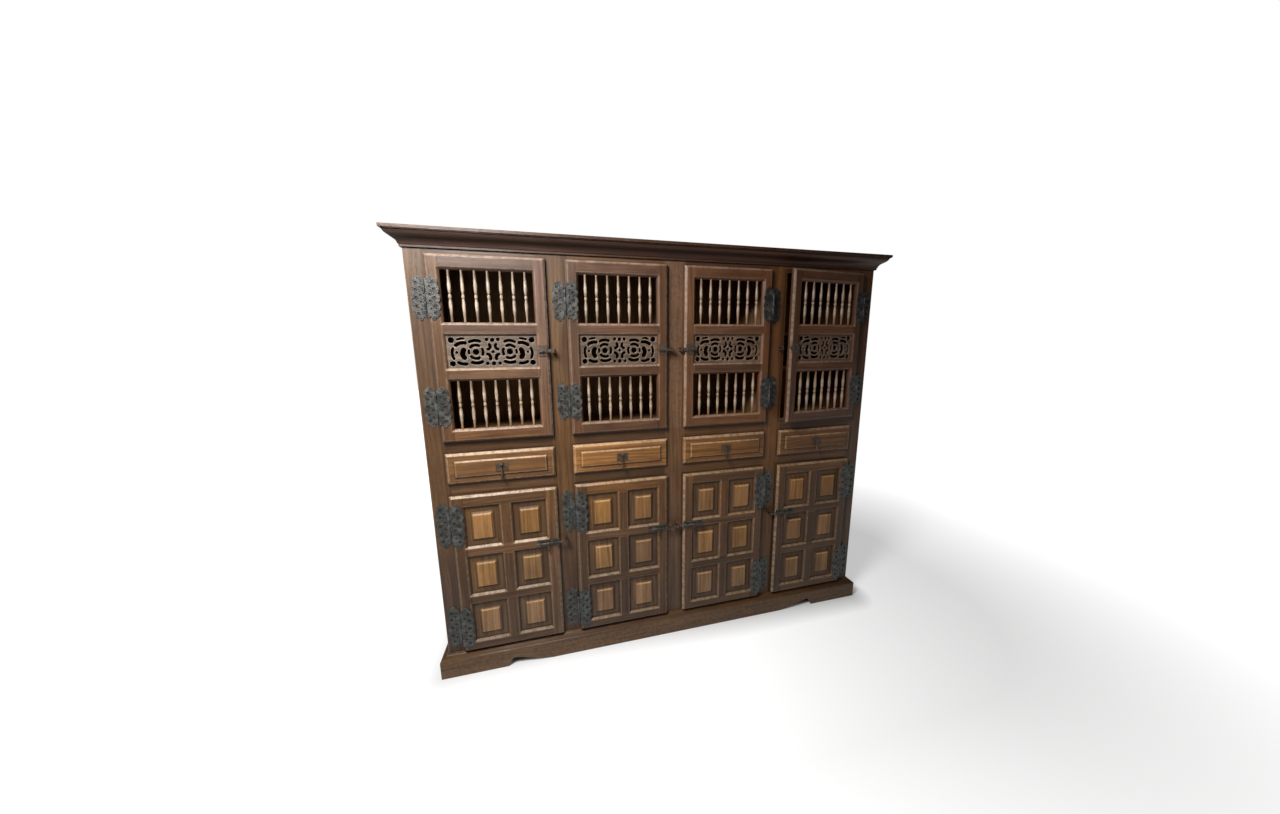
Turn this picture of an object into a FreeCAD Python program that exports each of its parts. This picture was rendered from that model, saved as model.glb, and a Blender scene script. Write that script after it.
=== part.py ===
# A four-bay storage cabinet: grille doors above, a row of drawers, panelled doors below.
# Millimetres. +Z is up, the front faces -Y, and the origin is on the floor at the middle
# of the space that the whole cabinet takes up.
import FreeCAD, Part
import Sketcher
import math
import os

Vector = FreeCAD.Vector

os.makedirs("parts", exist_ok=True)
doc = FreeCAD.newDocument("trastero_cabinet")

# Driving dimensions, in millimetres and degrees.
SIZES = {
    # Case
    "door_width": 452,
    "post_show": 82,
    "end_post_show": 73,
    "case_depth": 440,
    "board_thick": 20,
    "back_thick": 8,
    "frame_thick": 22,
    "foot_rise": 46,
    # Front, from the floor up
    "plinth_height": 104,
    "lower_door_gap": 6,
    "lower_door_height": 760,
    "rail_show": 51,
    "drawer_height": 137,
    "upper_door_height": 754,
    "frieze_show": 21,
    "crown_height": 66,
    "crown_out": 53,
    "plinth_out": 31,
    "notch_inset": 262,
    "notch_length": 205,
    "notch_height": 40,
    # Door and drawer leaves
    "door_thick": 22,
    "door_lap": 10,
    "door_gap": 0.5,
    "bevel": 9,
    "ajar_angle": 5.5,
    # Upper doors
    "upper_stile": 51.5,
    "upper_top_rail": 58,
    "upper_mid_rail": 54,
    "upper_bottom_rail": 56,
    "fretwork_height": 128,
    "fretwork_thick": 8,
    "fretwork_setback": 8,
    "spindle_edge": 30.5,
    "spindle_end_radius": 5,
    "spindle_belly_radius": 7,
    # Lower doors
    "lower_stile": 56,
    "lower_muntin": 60,
    "lower_top_rail": 58,
    "lower_mid_rail": 52,
    "panel_thick": 6,
    "panel_setback": 2.5,
    "panel_border_x": 20,
    "panel_border_z": 23,
    "panel_slope": 13,
    # Drawers
    "field_margin_x": 34,
    "field_margin_z": 31,
    "field_raise": 7,
    "field_bevel": 6,
    "drawer_side": 12,
    "drawer_bottom": 8,
    "drawer_side_height": 105,
    "drawer_depth": 380,
    "side_clear": 1.5,
    "slide_gap": 0.5,
    "guide_height": 20,
    # Shelves
    "shelf_setback": 30,
    # Hinges
    "pin_gap": 5.5,
    "barrel_radius": 5,
    "pin_radius": 2.4,
    "pin_clear": 0.1,
    "pin_head": 3,
    "knuckle_gap": 0.5,
    "iron_thick": 2.5,
    "riser_thick": 3,
    "upper_leaf_width": 49,
    "upper_leaf_height": 170,
    "upper_barrel": 90,
    "upper_hinge_low": 153,
    "upper_hinge_rise": 433,
    "lower_leaf_width": 55,
    "lower_leaf_height": 212,
    "lower_barrel": 108,
    "lower_hinge_low": 123,
    "lower_hinge_rise": 502,
    # Slide bolts
    "bolt_gap": 0.3,
    "staple_wall": 2.5,
    "staple_width": 7,
    "latch_plate_width": 38,
    "latch_plate_height": 48,
    "latch_height": 378,
    "latch_bar_height": 12,
    "latch_bar_thick": 4,
    "latch_reach": 9,
    "latch_travel": 14,
    "latch_knob_radius": 6,
    "latch_knob_stand": 9,
    "bolt_plate_width": 100,
    "bolt_plate_height": 30,
    "bolt_height": 494,
    "bolt_rod_radius": 4.5,
    "bolt_reach": 24,
    "bolt_travel": 16,
    "bolt_handle_length": 38,
    "bolt_handle_radius": 3.5,
    "keeper_space": 3,
    # Drawer pulls
    "pull_plate_width": 52,
    "pull_plate_height": 36,
    "pull_rise": 13,
    "drop_length": 72,
    "drop_radius": 6,
    "drop_eye_radius": 4,
    "drop_eye_width": 7,
    "drop_pin_radius": 1.5,
    "ear_thick": 3,
    # A cut runs this far past the faces that it goes through
    "overrun": 5,
}

sheet = doc.addObject("Spreadsheet::Sheet", "sizes")
for row, (alias, number) in enumerate(SIZES.items(), start=1):
    sheet.set("A%d" % row, alias)
    sheet.set("B%d" % row, str(number))
    sheet.setAlias("B%d" % row, alias)
doc.recompute()


class Size:
    """A measure that knows its value now and the sheet formula that it comes from."""

    def __init__(self, value, formula):
        self.value = float(value)
        self.formula = formula

    def __add__(self, other):
        other = measure(other)
        return Size(self.value + other.value, "(%s + %s)" % (self.formula, other.formula))

    def __sub__(self, other):
        other = measure(other)
        return Size(self.value - other.value, "(%s - %s)" % (self.formula, other.formula))

    def __mul__(self, other):
        other = measure(other)
        return Size(self.value * other.value, "(%s * %s)" % (self.formula, other.formula))

    def __truediv__(self, other):
        other = measure(other)
        return Size(self.value / other.value, "(%s / %s)" % (self.formula, other.formula))

    def __neg__(self):
        return Size(-self.value, "(0 - %s)" % self.formula)

    __radd__ = __add__
    __rmul__ = __mul__


def measure(number):
    if isinstance(number, Size):
        return number
    return Size(number, "(%r)" % float(number))


def sine(angle):
    return Size(math.sin(math.radians(angle.value)), "sin(%s)" % angle.formula)


def cosine(angle):
    return Size(math.cos(math.radians(angle.value)), "cos(%s)" % angle.formula)


class Names:
    """The sheet's sizes by name: s.door_width and so on."""


s = Names()
for alias in SIZES:
    setattr(s, alias, Size(sheet.get(alias), "sizes." + alias))

ZERO = measure(0)
BAYS = 4
SPINDLES = 7
PANEL_ROWS = 3
KNUCKLES = 3

# Sizes that follow from the driving ones.
bay_pitch = s.door_width + s.post_show
case_width = BAYS * s.door_width + (BAYS - 1) * s.post_show + 2 * s.end_post_show
half_width = case_width / 2
lower_door_z = s.plinth_height + s.lower_door_gap
drawer_z = lower_door_z + s.lower_door_height + s.rail_show
upper_door_z = drawer_z + s.drawer_height + s.rail_show
crown_z = upper_door_z + s.upper_door_height + s.frieze_show
case_height = crown_z + s.crown_height
case_top = case_height - s.board_thick

door_stand = s.door_gap + s.door_thick
knob_front = s.iron_thick + s.bolt_gap + s.latch_bar_thick + s.latch_knob_stand
knob_x = s.pin_gap + s.door_width - s.upper_stile / 2
front_reach = door_stand + knob_x * sine(s.ajar_angle) + knob_front * cosine(s.ajar_angle)
face_y = (front_reach - s.case_depth) / 2
back_y = face_y + s.case_depth
inside_y = face_y + s.frame_thick
pin_y = face_y - door_stand
opening_half = s.door_width / 2 - s.door_lap
opening_width = s.door_width - 2 * s.door_lap


def bay_middle(bay):
    return bay_pitch * (bay - (BAYS - 1) / 2)


# Ways to make a piece.
def bind(piece, **formulas):
    for name, number in formulas.items():
        number = measure(number)
        target = name.replace("__", ".")
        if "." not in target:
            setattr(piece, name, number.value)
        piece.setExpression(target, number.formula)
    return piece


def place(piece, x=ZERO, y=ZERO, z=ZERO):
    return bind(piece, Placement__Base__x=x, Placement__Base__y=y, Placement__Base__z=z)


def board(name, x, y, z, width, depth, height):
    """A plain board: its lowest corner and its three sizes."""
    piece = doc.addObject("Part::Box", name)
    bind(piece, Length=width, Width=depth, Height=height)
    return place(piece, x, y, z)


def rod(name, radius, length, x=ZERO, y=ZERO, z=ZERO, along="z"):
    """A round bar that starts at a point and runs along one axis."""
    piece = doc.addObject("Part::Cylinder", name)
    bind(piece, Radius=radius, Height=length)
    turn = {"z": (0, 0, 0), "x": (90, 0, 90), "y": (0, 0, -90)}[along]
    piece.Placement.Rotation = FreeCAD.Rotation(*turn)
    return place(piece, x, y, z)


def ball(name, radius, x=ZERO, y=ZERO, z=ZERO):
    piece = doc.addObject("Part::Sphere", name)
    bind(piece, Radius=radius)
    return place(piece, x, y, z)


def join(name, pieces):
    whole = doc.addObject("Part::MultiFuse", name)
    whole.Shapes = pieces
    whole.Refine = True
    return whole


def cut(name, base, tools):
    """The base less its tools, which lie clear of one another."""
    part = doc.addObject("Part::Cut", name)
    part.Base = base
    part.Tool = tools[0] if len(tools) == 1 else group(name + "_tools", tools)
    return part


def common(name, first, second):
    part = doc.addObject("Part::Common", name)
    part.Base = first
    part.Tool = second
    return part


def mirror(name, piece, normal=(1, 0, 0)):
    twin = doc.addObject("Part::Mirroring", name)
    twin.Source = piece
    twin.Base = Vector(0, 0, 0)
    twin.Normal = Vector(*normal)
    return twin


def group(name, pieces):
    whole = doc.addObject("Part::Compound", name)
    whole.Links = pieces
    return whole


def copy_at(name, piece, x=ZERO, y=ZERO, z=ZERO):
    return place(group(name, [piece]), x, y, z)


def body_sketch(body, name, role, loops):
    """A sketch on one of the body's own planes, every corner bound to the sheet."""
    sketch = body.newObject("Sketcher::SketchObject", name)
    plane = [item for item in body.Origin.OriginFeatures if item.Role == role][0]
    sketch.AttachmentSupport = [(plane, "")]
    sketch.MapMode = "FlatFace"
    for corners in loops:
        first = sketch.GeometryCount
        count = len(corners)
        for index in range(count):
            start = corners[index]
            end = corners[(index + 1) % count]
            line = Part.LineSegment(
                Vector(measure(start[0]).value, measure(start[1]).value, 0),
                Vector(measure(end[0]).value, measure(end[1]).value, 0))
            sketch.addGeometry(line, False)
        for index in range(count):
            after = first + (index + 1) % count
            sketch.addConstraint(Sketcher.Constraint("Coincident", first + index, 2, after, 1))
        for index, (across, up) in enumerate(corners):
            for kind, number in (("DistanceX", measure(across)), ("DistanceY", measure(up))):
                constraint = Sketcher.Constraint(kind, -1, 1, first + index, 1, number.value)
                place_in_list = sketch.addConstraint(constraint)
                sketch.setExpression("Constraints[%d]" % place_in_list, number.formula)
    return sketch


def padded(name, role, loops, length, reverse=False, middle=False):
    """A body that is one sketch raised to a length."""
    body = doc.addObject("PartDesign::Body", name)
    sketch = body_sketch(body, name + "_sketch", role, loops)
    pad = body.newObject("PartDesign::Pad", name + "_pad")
    pad.Profile = sketch
    bind(pad, Length=length)
    pad.Reversed = reverse
    pad.Midplane = middle
    sketch.Visibility = False
    doc.recompute()
    return body


def turned(name, corners):
    """A body that is one profile turned once round the Z axis."""
    body = doc.addObject("PartDesign::Body", name)
    sketch = body_sketch(body, name + "_sketch", "XZ_Plane", [corners])
    turn = body.newObject("PartDesign::Revolution", name + "_turn")
    turn.Profile = sketch
    turn.ReferenceAxis = (sketch, ["V_Axis"])
    turn.Angle = 360
    doc.recompute()
    return body


def bevel_front(body, size, depth):
    """Bevels every edge that lies in the front plane at this depth."""
    level = measure(depth).value
    near = 1e-6
    names = []
    base = body.Tip
    for number, edge in enumerate(base.Shape.Edges, start=1):
        if all(abs(vertex.Point.y - level) < near for vertex in edge.Vertexes):
            names.append("Edge%d" % number)
    chamfer = body.newObject("PartDesign::Chamfer", body.Name + "_bevel")
    chamfer.Base = (base, names)
    bind(chamfer, Size=size)
    doc.recompute()
    return body


def rectangle(x0, z0, x1, z1):
    return [(x0, z0), (x1, z0), (x1, z1), (x0, z1)]


nodes = {}


def node(name, pieces, x=ZERO, y=ZERO, z=ZERO, turn=None):
    """A named sub-part: its pieces as separate solids, put where it belongs."""
    whole = group(name, pieces)
    whole.Label = name
    place(whole, x, y, z)
    if turn is not None:
        whole.setExpression("Placement.Rotation.Angle", turn.formula)
    nodes[name] = whole
    return whole


# Case boards
def between_posts(name, bay, z, height, depth, front):
    """A level board that fills one bay between the upright boards."""
    left = bay_middle(bay) - bay_pitch / 2 + s.board_thick / 2
    right = bay_middle(bay) + bay_pitch / 2 - s.board_thick / 2
    if bay == 0:
        left = s.board_thick - half_width
    if bay == BAYS - 1:
        right = half_width - s.board_thick
    return board(name, left, front, z, right - left, depth, height)


inside_depth = back_y - s.back_thick - inside_y
node("top_board", [board("top", -half_width, face_y, case_top, case_width, s.case_depth, s.board_thick)])

side_depth = back_y - inside_y
sides = []
for label, x in (("left", -half_width), ("right", half_width - s.board_thick)):
    sides.append(board("side_" + label, x, inside_y, ZERO, s.board_thick, side_depth, case_top))
node("side_panels", sides)

dividers = []
for bay in range(BAYS - 1):
    x = bay_middle(bay) + bay_pitch / 2 - s.board_thick / 2
    dividers.append(board("divider_%d" % bay, x, inside_y, ZERO, s.board_thick, inside_depth, case_top))
node("dividers", dividers)

floor_top = lower_door_z + s.door_lap
back_y0 = back_y - s.back_thick
backs = []
for bay in range(BAYS):
    left = bay_middle(bay) - bay_pitch / 2
    right = bay_middle(bay) + bay_pitch / 2
    if bay == 0:
        left = s.board_thick - half_width
    if bay == BAYS - 1:
        right = half_width - s.board_thick
    backs.append(board("back_%d" % bay, left, back_y0, s.foot_rise, right - left, s.back_thick,
                       case_top - s.foot_rise))
node("back_boards", backs)

floors = []
for bay in range(BAYS):
    floors.append(between_posts("floor_%d" % bay, bay, floor_top - s.board_thick, s.board_thick,
                                inside_depth, inside_y))
node("bottom_boards", floors)

# Face frame: five posts and four rails between each two of them
frame_pieces = []
post_height = case_top - s.foot_rise
for post in range(BAYS + 1):
    left = bay_pitch * (post - BAYS / 2) - s.post_show / 2 - s.door_lap
    width = s.post_show + 2 * s.door_lap
    if post == 0:
        left = -half_width
        width = s.end_post_show + s.door_lap
    if post == BAYS:
        width = s.end_post_show + s.door_lap
        left = half_width - width
    frame_pieces.append(board("post_%d" % post, left, face_y, s.foot_rise, width, s.frame_thick, post_height))

upper_door_top = upper_door_z + s.upper_door_height
rails = (
    ("bottom_rail", s.foot_rise, floor_top),
    ("drawer_rail", lower_door_z + s.lower_door_height - s.door_lap, drawer_z + s.door_lap),
    ("middle_rail", drawer_z + s.drawer_height - s.door_lap, upper_door_z + s.door_lap),
    ("top_rail", upper_door_top - s.door_lap, case_top),
)
for bay in range(BAYS):
    for label, low, high in rails:
        frame_pieces.append(board("%s_%d" % (label, bay), bay_middle(bay) - opening_half, face_y, low,
                                  opening_width, s.frame_thick, high - low))
node("face_frame", frame_pieces)

# Shelves, and the decks below and above the drawers
grille_height = (s.upper_door_height - s.upper_top_rail - s.upper_bottom_rail
                 - 2 * s.upper_mid_rail - s.fretwork_height) / 2
recess_height = (s.lower_door_height - s.lower_top_rail - PANEL_ROWS * s.lower_mid_rail) / PANEL_ROWS
shelf_levels = (
    ("deck_low", drawer_z + s.door_lap, ZERO),
    ("deck_high", upper_door_z + s.door_lap, ZERO),
    ("shelf_low", lower_door_z + s.lower_door_height / 2, s.shelf_setback),
    ("shelf_mid", upper_door_z + s.upper_bottom_rail + grille_height + s.upper_mid_rail / 2, s.shelf_setback),
    ("shelf_high", upper_door_z + s.upper_bottom_rail + grille_height + s.upper_mid_rail
     + s.fretwork_height + s.upper_mid_rail / 2, s.shelf_setback),
)
shelves = []
for bay in range(BAYS):
    for label, top, setback in shelf_levels:
        shelves.append(between_posts("%s_%d" % (label, bay), bay, top - s.board_thick, s.board_thick,
                                     inside_depth - setback, inside_y + setback))
node("shelves_and_decks", shelves)

# Strips that keep each drawer between its posts
guides = []
deck_z = drawer_z + s.door_lap
for bay in range(BAYS):
    left = bay_middle(bay) - bay_pitch / 2 + s.board_thick / 2
    right = bay_middle(bay) + bay_pitch / 2 - s.board_thick / 2
    if bay == 0:
        left = s.board_thick - half_width
    if bay == BAYS - 1:
        right = half_width - s.board_thick
    inner_left = bay_middle(bay) - opening_half
    inner_right = bay_middle(bay) + opening_half
    guides.append(board("guide_left_%d" % bay, left, inside_y, deck_z, inner_left - left, inside_depth,
                        s.guide_height))
    guides.append(board("guide_right_%d" % bay, inner_right, inside_y, deck_z, right - inner_right,
                        inside_depth, s.guide_height))
node("drawer_guides", guides)


# Mouldings that run round the front and both sides, mitred at the corners
def moulding(name, shares, out, height, low):
    def outline(sign, face):
        return [(face + sign * out * across, low + height * up) for across, up in shares]

    block = doc.addObject("Part::Wedge", name + "_mitre")
    reach = half_width + out
    bind(block, Xmin=-reach, Xmax=reach, Ymin=face_y - out, Ymax=face_y, Zmin=low, Zmax=low + height,
         X2min=-half_width, X2max=half_width, Z2min=low, Z2max=low + height)
    run = padded(name + "_front_run", "YZ_Plane", [outline(-1, face_y)], 2 * reach, middle=True)
    front = common(name + "_front", run, block)
    depth = s.case_depth + out
    side_run = padded(name + "_side_run", "XZ_Plane", [outline(1, half_width)], depth)
    shifted = place(group(name + "_side_shift", [side_run]), ZERO, back_y, ZERO)
    right = cut(name + "_right", shifted, [block])
    left = mirror(name + "_left", right)
    return front, left, right


crown_shares = [(0, 0), (0.14, 0), (0.14, 0.12), (0.19, 0.15), (0.22, 0.24), (0.29, 0.34), (0.42, 0.43),
                (0.60, 0.51), (0.74, 0.60), (0.82, 0.70), (0.84, 0.78), (0.93, 0.78), (0.93, 0.82),
                (1, 0.82), (1, 1), (0, 1)]
node("crown", list(moulding("cornice", crown_shares, s.crown_out, s.crown_height, crown_z)))

plinth_shares = [(0, 0), (1, 0), (1, 0.82), (0.86, 0.84), (0.80, 0.87), (0.62, 0.89), (0.40, 0.92),
                 (0.22, 0.955), (0.12, 1), (0, 1)]
base_front, base_left, base_right = moulding("base", plinth_shares, s.plinth_out, s.plinth_height, ZERO)
notch_shares = [(0, 0), (0.06, 0.62), (0.12, 1), (0.22, 0.96), (0.36, 0.80), (0.55, 0.50), (0.76, 0.22), (1, 0)]
notch_start = s.notch_inset - half_width
notch_corners = [(notch_start, -s.overrun)]
for across, up in notch_shares:
    notch_corners.append((notch_start + s.notch_length * across, s.notch_height * up))
notch_corners.append((notch_start + s.notch_length, -s.overrun))
notch_reach = 2 * (s.case_depth + s.plinth_out)
notch = padded("plinth_notch", "XZ_Plane", [notch_corners], notch_reach, middle=True)
base_board = cut("base_notched", base_front, [notch, mirror("plinth_notch_right", notch)])
node("plinth", [base_board, base_left, base_right])


# Door leaves, drawn for a door that hangs on its left edge. The hinge pin's axis is x = 0, y = 0,
# the leaf's front is y = 0 and its bottom z = 0.
leaf_left = s.pin_gap
leaf_right = s.pin_gap + s.door_width


def door_frame(name, height, holes, members):
    """One framed leaf with bevelled edges, parted into its stiles and rails."""
    loops = [rectangle(leaf_left, ZERO, leaf_right, height)]
    for hole in holes:
        loops.append(rectangle(*hole))
    whole = padded(name + "_blank", "XZ_Plane", loops, s.door_thick, reverse=True)
    bevel_front(whole, s.bevel, ZERO)
    pieces = []
    for label, x0, z0, x1, z1 in members:
        block = board("%s_%s_block" % (name, label), x0, ZERO, z0, x1 - x0, s.door_thick, z1 - z0)
        pieces.append(common("%s_%s" % (name, label), whole, block))
    return group(name, pieces)


# Upper leaf: two stiles, four rails, two rows of spindles and a fretwork board between them
grille_left = leaf_left + s.upper_stile
grille_right = leaf_right - s.upper_stile
grille_width = grille_right - grille_left
low_grille_z = s.upper_bottom_rail
low_mid_z = low_grille_z + grille_height
fretwork_z = low_mid_z + s.upper_mid_rail
high_mid_z = fretwork_z + s.fretwork_height
high_grille_z = high_mid_z + s.upper_mid_rail
top_rail_z = high_grille_z + grille_height
upper_holes = [
    (grille_left, low_grille_z, grille_right, low_mid_z),
    (grille_left, fretwork_z, grille_right, high_mid_z),
    (grille_left, high_grille_z, grille_right, top_rail_z),
]
upper_members = [
    ("left_stile", leaf_left, ZERO, grille_left, s.upper_door_height),
    ("right_stile", grille_right, ZERO, leaf_right, s.upper_door_height),
    ("bottom_rail", grille_left, ZERO, grille_right, low_grille_z),
    ("low_rail", grille_left, low_mid_z, grille_right, fretwork_z),
    ("high_rail", grille_left, high_mid_z, grille_right, high_grille_z),
    ("top_rail", grille_left, top_rail_z, grille_right, s.upper_door_height),
]
upper_frame = door_frame("upper_frame", s.upper_door_height, upper_holes, upper_members)

# A spindle is thin at its ends and its waist, with a belly on either side of a bead.
spindle_half_shares = [(0, 0), (0.06, 0.02), (0.20, 0.24), (0.36, 0.62), (0.48, 0.90), (0.60, 1),
                       (0.74, 0.90), (0.86, 0.52), (0.92, 0.30), (0.94, 0.62), (1, 0.70)]
spindle_corners = [(ZERO, ZERO)]
swell = s.spindle_belly_radius - s.spindle_end_radius
for along, out in spindle_half_shares:
    spindle_corners.append((s.spindle_end_radius + swell * out, grille_height / 2 * along))
for along, out in reversed(spindle_half_shares[:-1]):
    spindle_corners.append((s.spindle_end_radius + swell * out, grille_height - grille_height / 2 * along))
spindle_corners.append((ZERO, grille_height))
spindle = turned("spindle", spindle_corners)
spindle_pitch = (grille_width - 2 * s.spindle_edge) / (SPINDLES - 1)
spindles = []
for row, z in enumerate((low_grille_z, high_grille_z)):
    for number in range(SPINDLES):
        x = grille_left + s.spindle_edge + spindle_pitch * number
        spindles.append(copy_at("spindle_%d_%d" % (row, number), spindle, x, s.door_thick / 2, z))
upper_spindles = group("upper_spindles", spindles)


# Fretwork: one thin board, pierced with curved slots that leave a scrolling vine between them
def arc_slot(middle_x, middle_z, radius, half_slot, start, sweep):
    """The outline of a slot with round ends that follows an arc about a middle point."""
    def at(reach, degrees):
        angle = math.radians(degrees)
        return Vector(middle_x + reach * math.cos(angle), 0, middle_z + reach * math.sin(angle))

    def end_point(degrees, bulge):
        tip = at(radius, degrees)
        angle = math.radians(degrees)
        return tip + Vector(-math.sin(angle), 0, math.cos(angle)) * (half_slot * bulge)

    outer = radius + half_slot
    inner = radius - half_slot
    stop = start + sweep
    half_way = start + sweep / 2
    return Part.Wire([
        Part.Arc(at(outer, start), at(outer, half_way), at(outer, stop)).toShape(),
        Part.Arc(at(outer, stop), end_point(stop, 1), at(inner, stop)).toShape(),
        Part.Arc(at(inner, stop), at(inner, half_way), at(inner, start)).toShape(),
        Part.Arc(at(inner, start), end_point(start, -1), at(outer, start)).toShape()])


# Slots: middle (shares of the half width and the half height), radius and half slot (shares of the
# half height), first angle and sweep. Round holes: middle and radius in the same shares. The right half
# is listed, and holes on the middle line are listed by height alone.
slot_shares = [
    (0.527, -0.125, 0.391, 0.148, -38, 76),
    (0.642, -0.094, 0.688, 0.078, -28, 54),
    (0.642, -0.094, 0.672, 0.102, 50, 50),
    (0.642, -0.094, 0.672, 0.094, -100, 42),
    (0.642, -0.094, 0.938, 0.062, 70, 22),
    (0.378, 0, 0.422, 0.086, 45, 70),
    (0.378, 0, 0.422, 0.086, -115, 70),
    (0.378, 0, 0.422, 0.078, 155, 50),
    (0.378, 0, 0.422, 0.07, -12, 24),
    (0.378, 0, 0.719, 0.086, 62, 50),
    (0.378, 0, 0.719, 0.094, -118, 50),
    (0.143, -0.375, 0.219, 0.094, 105, 100),
    (0.126, 0.344, 0.188, 0.086, 140, 120),
]
round_shares = [
    (0.378, 0, 0.188), (0.894, 0.75, 0.172), (0.9, -0.734, 0.164), (0.791, -0.031, 0.078),
    (0.126, 0.781, 0.109), (0.138, -0.75, 0.102),
]
middle_shares = [(0.75, 0.125), (-0.75, 0.125), (0, 0.094)]


def fretwork_shape():
    """The pierced board, centred on x = 0 and z = 0, with its front at y = 0."""
    wide = grille_width.value / 2
    high = sheet.get("fretwork_height") / 2
    thick = sheet.get("fretwork_thick")
    through = Vector(0, thick, 0)
    plate = Part.makeBox(2 * wide, thick, 2 * high, Vector(-wide, 0, -high))
    tools = []
    for across, up, radius, half_slot, start, sweep in slot_shares:
        for side in (1, -1):
            first = start if side > 0 else 180 - start - sweep
            wire = arc_slot(across * side * wide, up * high, radius * high, half_slot * high, first, sweep)
            tools.append(Part.Face(wire).extrude(through))
    for across, up, radius in round_shares:
        for side in (1, -1):
            tools.append(Part.makeCylinder(radius * high, thick, Vector(across * side * wide, 0, up * high),
                                           Vector(0, 1, 0)))
    for up, radius in middle_shares:
        tools.append(Part.makeCylinder(radius * high, thick, Vector(0, 0, up * high), Vector(0, 1, 0)))
    return plate.cut(tools)


fretwork = doc.addObject("Part::Feature", "fretwork_board")
fretwork.Shape = fretwork_shape()
place(fretwork, (grille_left + grille_right) / 2, s.fretwork_setback, fretwork_z + s.fretwork_height / 2)

# Lower leaf: two stiles, a muntin, four rails and six raised panels
recess_width = (s.door_width - 2 * s.lower_stile - s.lower_muntin) / 2
left_recess = leaf_left + s.lower_stile
right_recess = left_recess + recess_width + s.lower_muntin
recess_right = right_recess + recess_width
recess_levels = []
for row in range(PANEL_ROWS):
    recess_levels.append(s.lower_mid_rail + (recess_height + s.lower_mid_rail) * row)
lower_holes = []
lower_members = [
    ("left_stile", leaf_left, ZERO, left_recess, s.lower_door_height),
    ("right_stile", recess_right, ZERO, leaf_right, s.lower_door_height),
    ("bottom_rail", left_recess, ZERO, recess_right, s.lower_mid_rail),
]
for row, z in enumerate(recess_levels):
    top = z + recess_height
    lower_holes.append((left_recess, z, left_recess + recess_width, top))
    lower_holes.append((right_recess, z, recess_right, top))
    lower_members.append(("muntin_%d" % row, left_recess + recess_width, z, right_recess, top))
    rail_top = top + s.lower_mid_rail
    if row == PANEL_ROWS - 1:
        rail_top = s.lower_door_height
    lower_members.append(("rail_%d" % row, left_recess, top, recess_right, rail_top))
lower_frame = door_frame("lower_frame", s.lower_door_height, lower_holes, lower_members)

# A panel is flat behind. In front a flat border runs round a block with sloping sides and a flat field.
panel_front = s.door_thick - s.bevel / 2 - s.panel_thick
panel_slab = board("panel_slab", ZERO, panel_front, ZERO, recess_width, s.panel_thick, recess_height)
panel_rise = doc.addObject("Part::Wedge", "panel_rise")
field_in_x = s.panel_border_x + s.panel_slope
field_in_z = s.panel_border_z + s.panel_slope
bind(panel_rise, Xmin=field_in_x, Xmax=recess_width - field_in_x, Zmin=field_in_z, Zmax=recess_height - field_in_z,
     Ymin=s.panel_setback, Ymax=panel_front, X2min=s.panel_border_x, X2max=recess_width - s.panel_border_x,
     Z2min=s.panel_border_z, Z2max=recess_height - s.panel_border_z)
panel = join("panel", [panel_slab, panel_rise])
panels = []
for row, z in enumerate(recess_levels):
    for label, x in (("left", left_recess), ("right", right_recess)):
        panels.append(copy_at("panel_%s_%d" % (label, row), panel, x, ZERO, z))
lower_panels = group("lower_panels", panels)


# Hinges: a pierced leaf on the door's front, its twin on the post, and a pin through their knuckles.
lobe_shares = [(0.50, 0, 0.50), (0.52, 0.19, 0.46), (0.50, 0.345, 0.40)]
finial_shares = (0.42, 0.455, 0.045)
pierce_shares = [(0.62, 0, 0.15), (0.30, 0.075, 0.09), (0.62, 0.19, 0.13), (0.30, 0.25, 0.08),
                 (0.56, 0.345, 0.12), (0.42, 0.45, 0.05)]
spine_shares = (0.30, 0.43)


def leaf_plate(name, width, height, y, side):
    """The flat part of a leaf: lobes, a finial at each end and a spine by the knuckles."""
    def x_at(share):
        return side * (s.pin_gap + width * share)

    def disc(label, across, up, radius):
        return rod("%s_%s" % (name, label), radius, s.iron_thick, x_at(across), y, up, "y")

    spine_wide, spine_high = spine_shares
    left = x_at(0) if side > 0 else x_at(spine_wide)
    pieces = [board(name + "_spine", left, y, -height * spine_high, width * spine_wide, s.iron_thick,
                    2 * height * spine_high)]
    holes = []
    for number, (across, up, radius) in enumerate(lobe_shares):
        for sign in ((1, -1) if up else (1,)):
            pieces.append(disc("lobe_%d_%d" % (number, sign + 1), across, height * up * sign, width * radius))
    across, up, radius = finial_shares
    for sign in (1, -1):
        pieces.append(disc("finial_%d" % (sign + 1), across, height * up * sign, height * radius))
    for number, (across, up, radius) in enumerate(pierce_shares):
        for sign in ((1, -1) if up else (1,)):
            hole = rod("%s_hole_%d_%d" % (name, number, sign + 1), width * radius, s.iron_thick + 2 * s.overrun,
                       x_at(across), y - s.overrun, height * up * sign, "y")
            holes.append(hole)
    return pieces, holes


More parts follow.
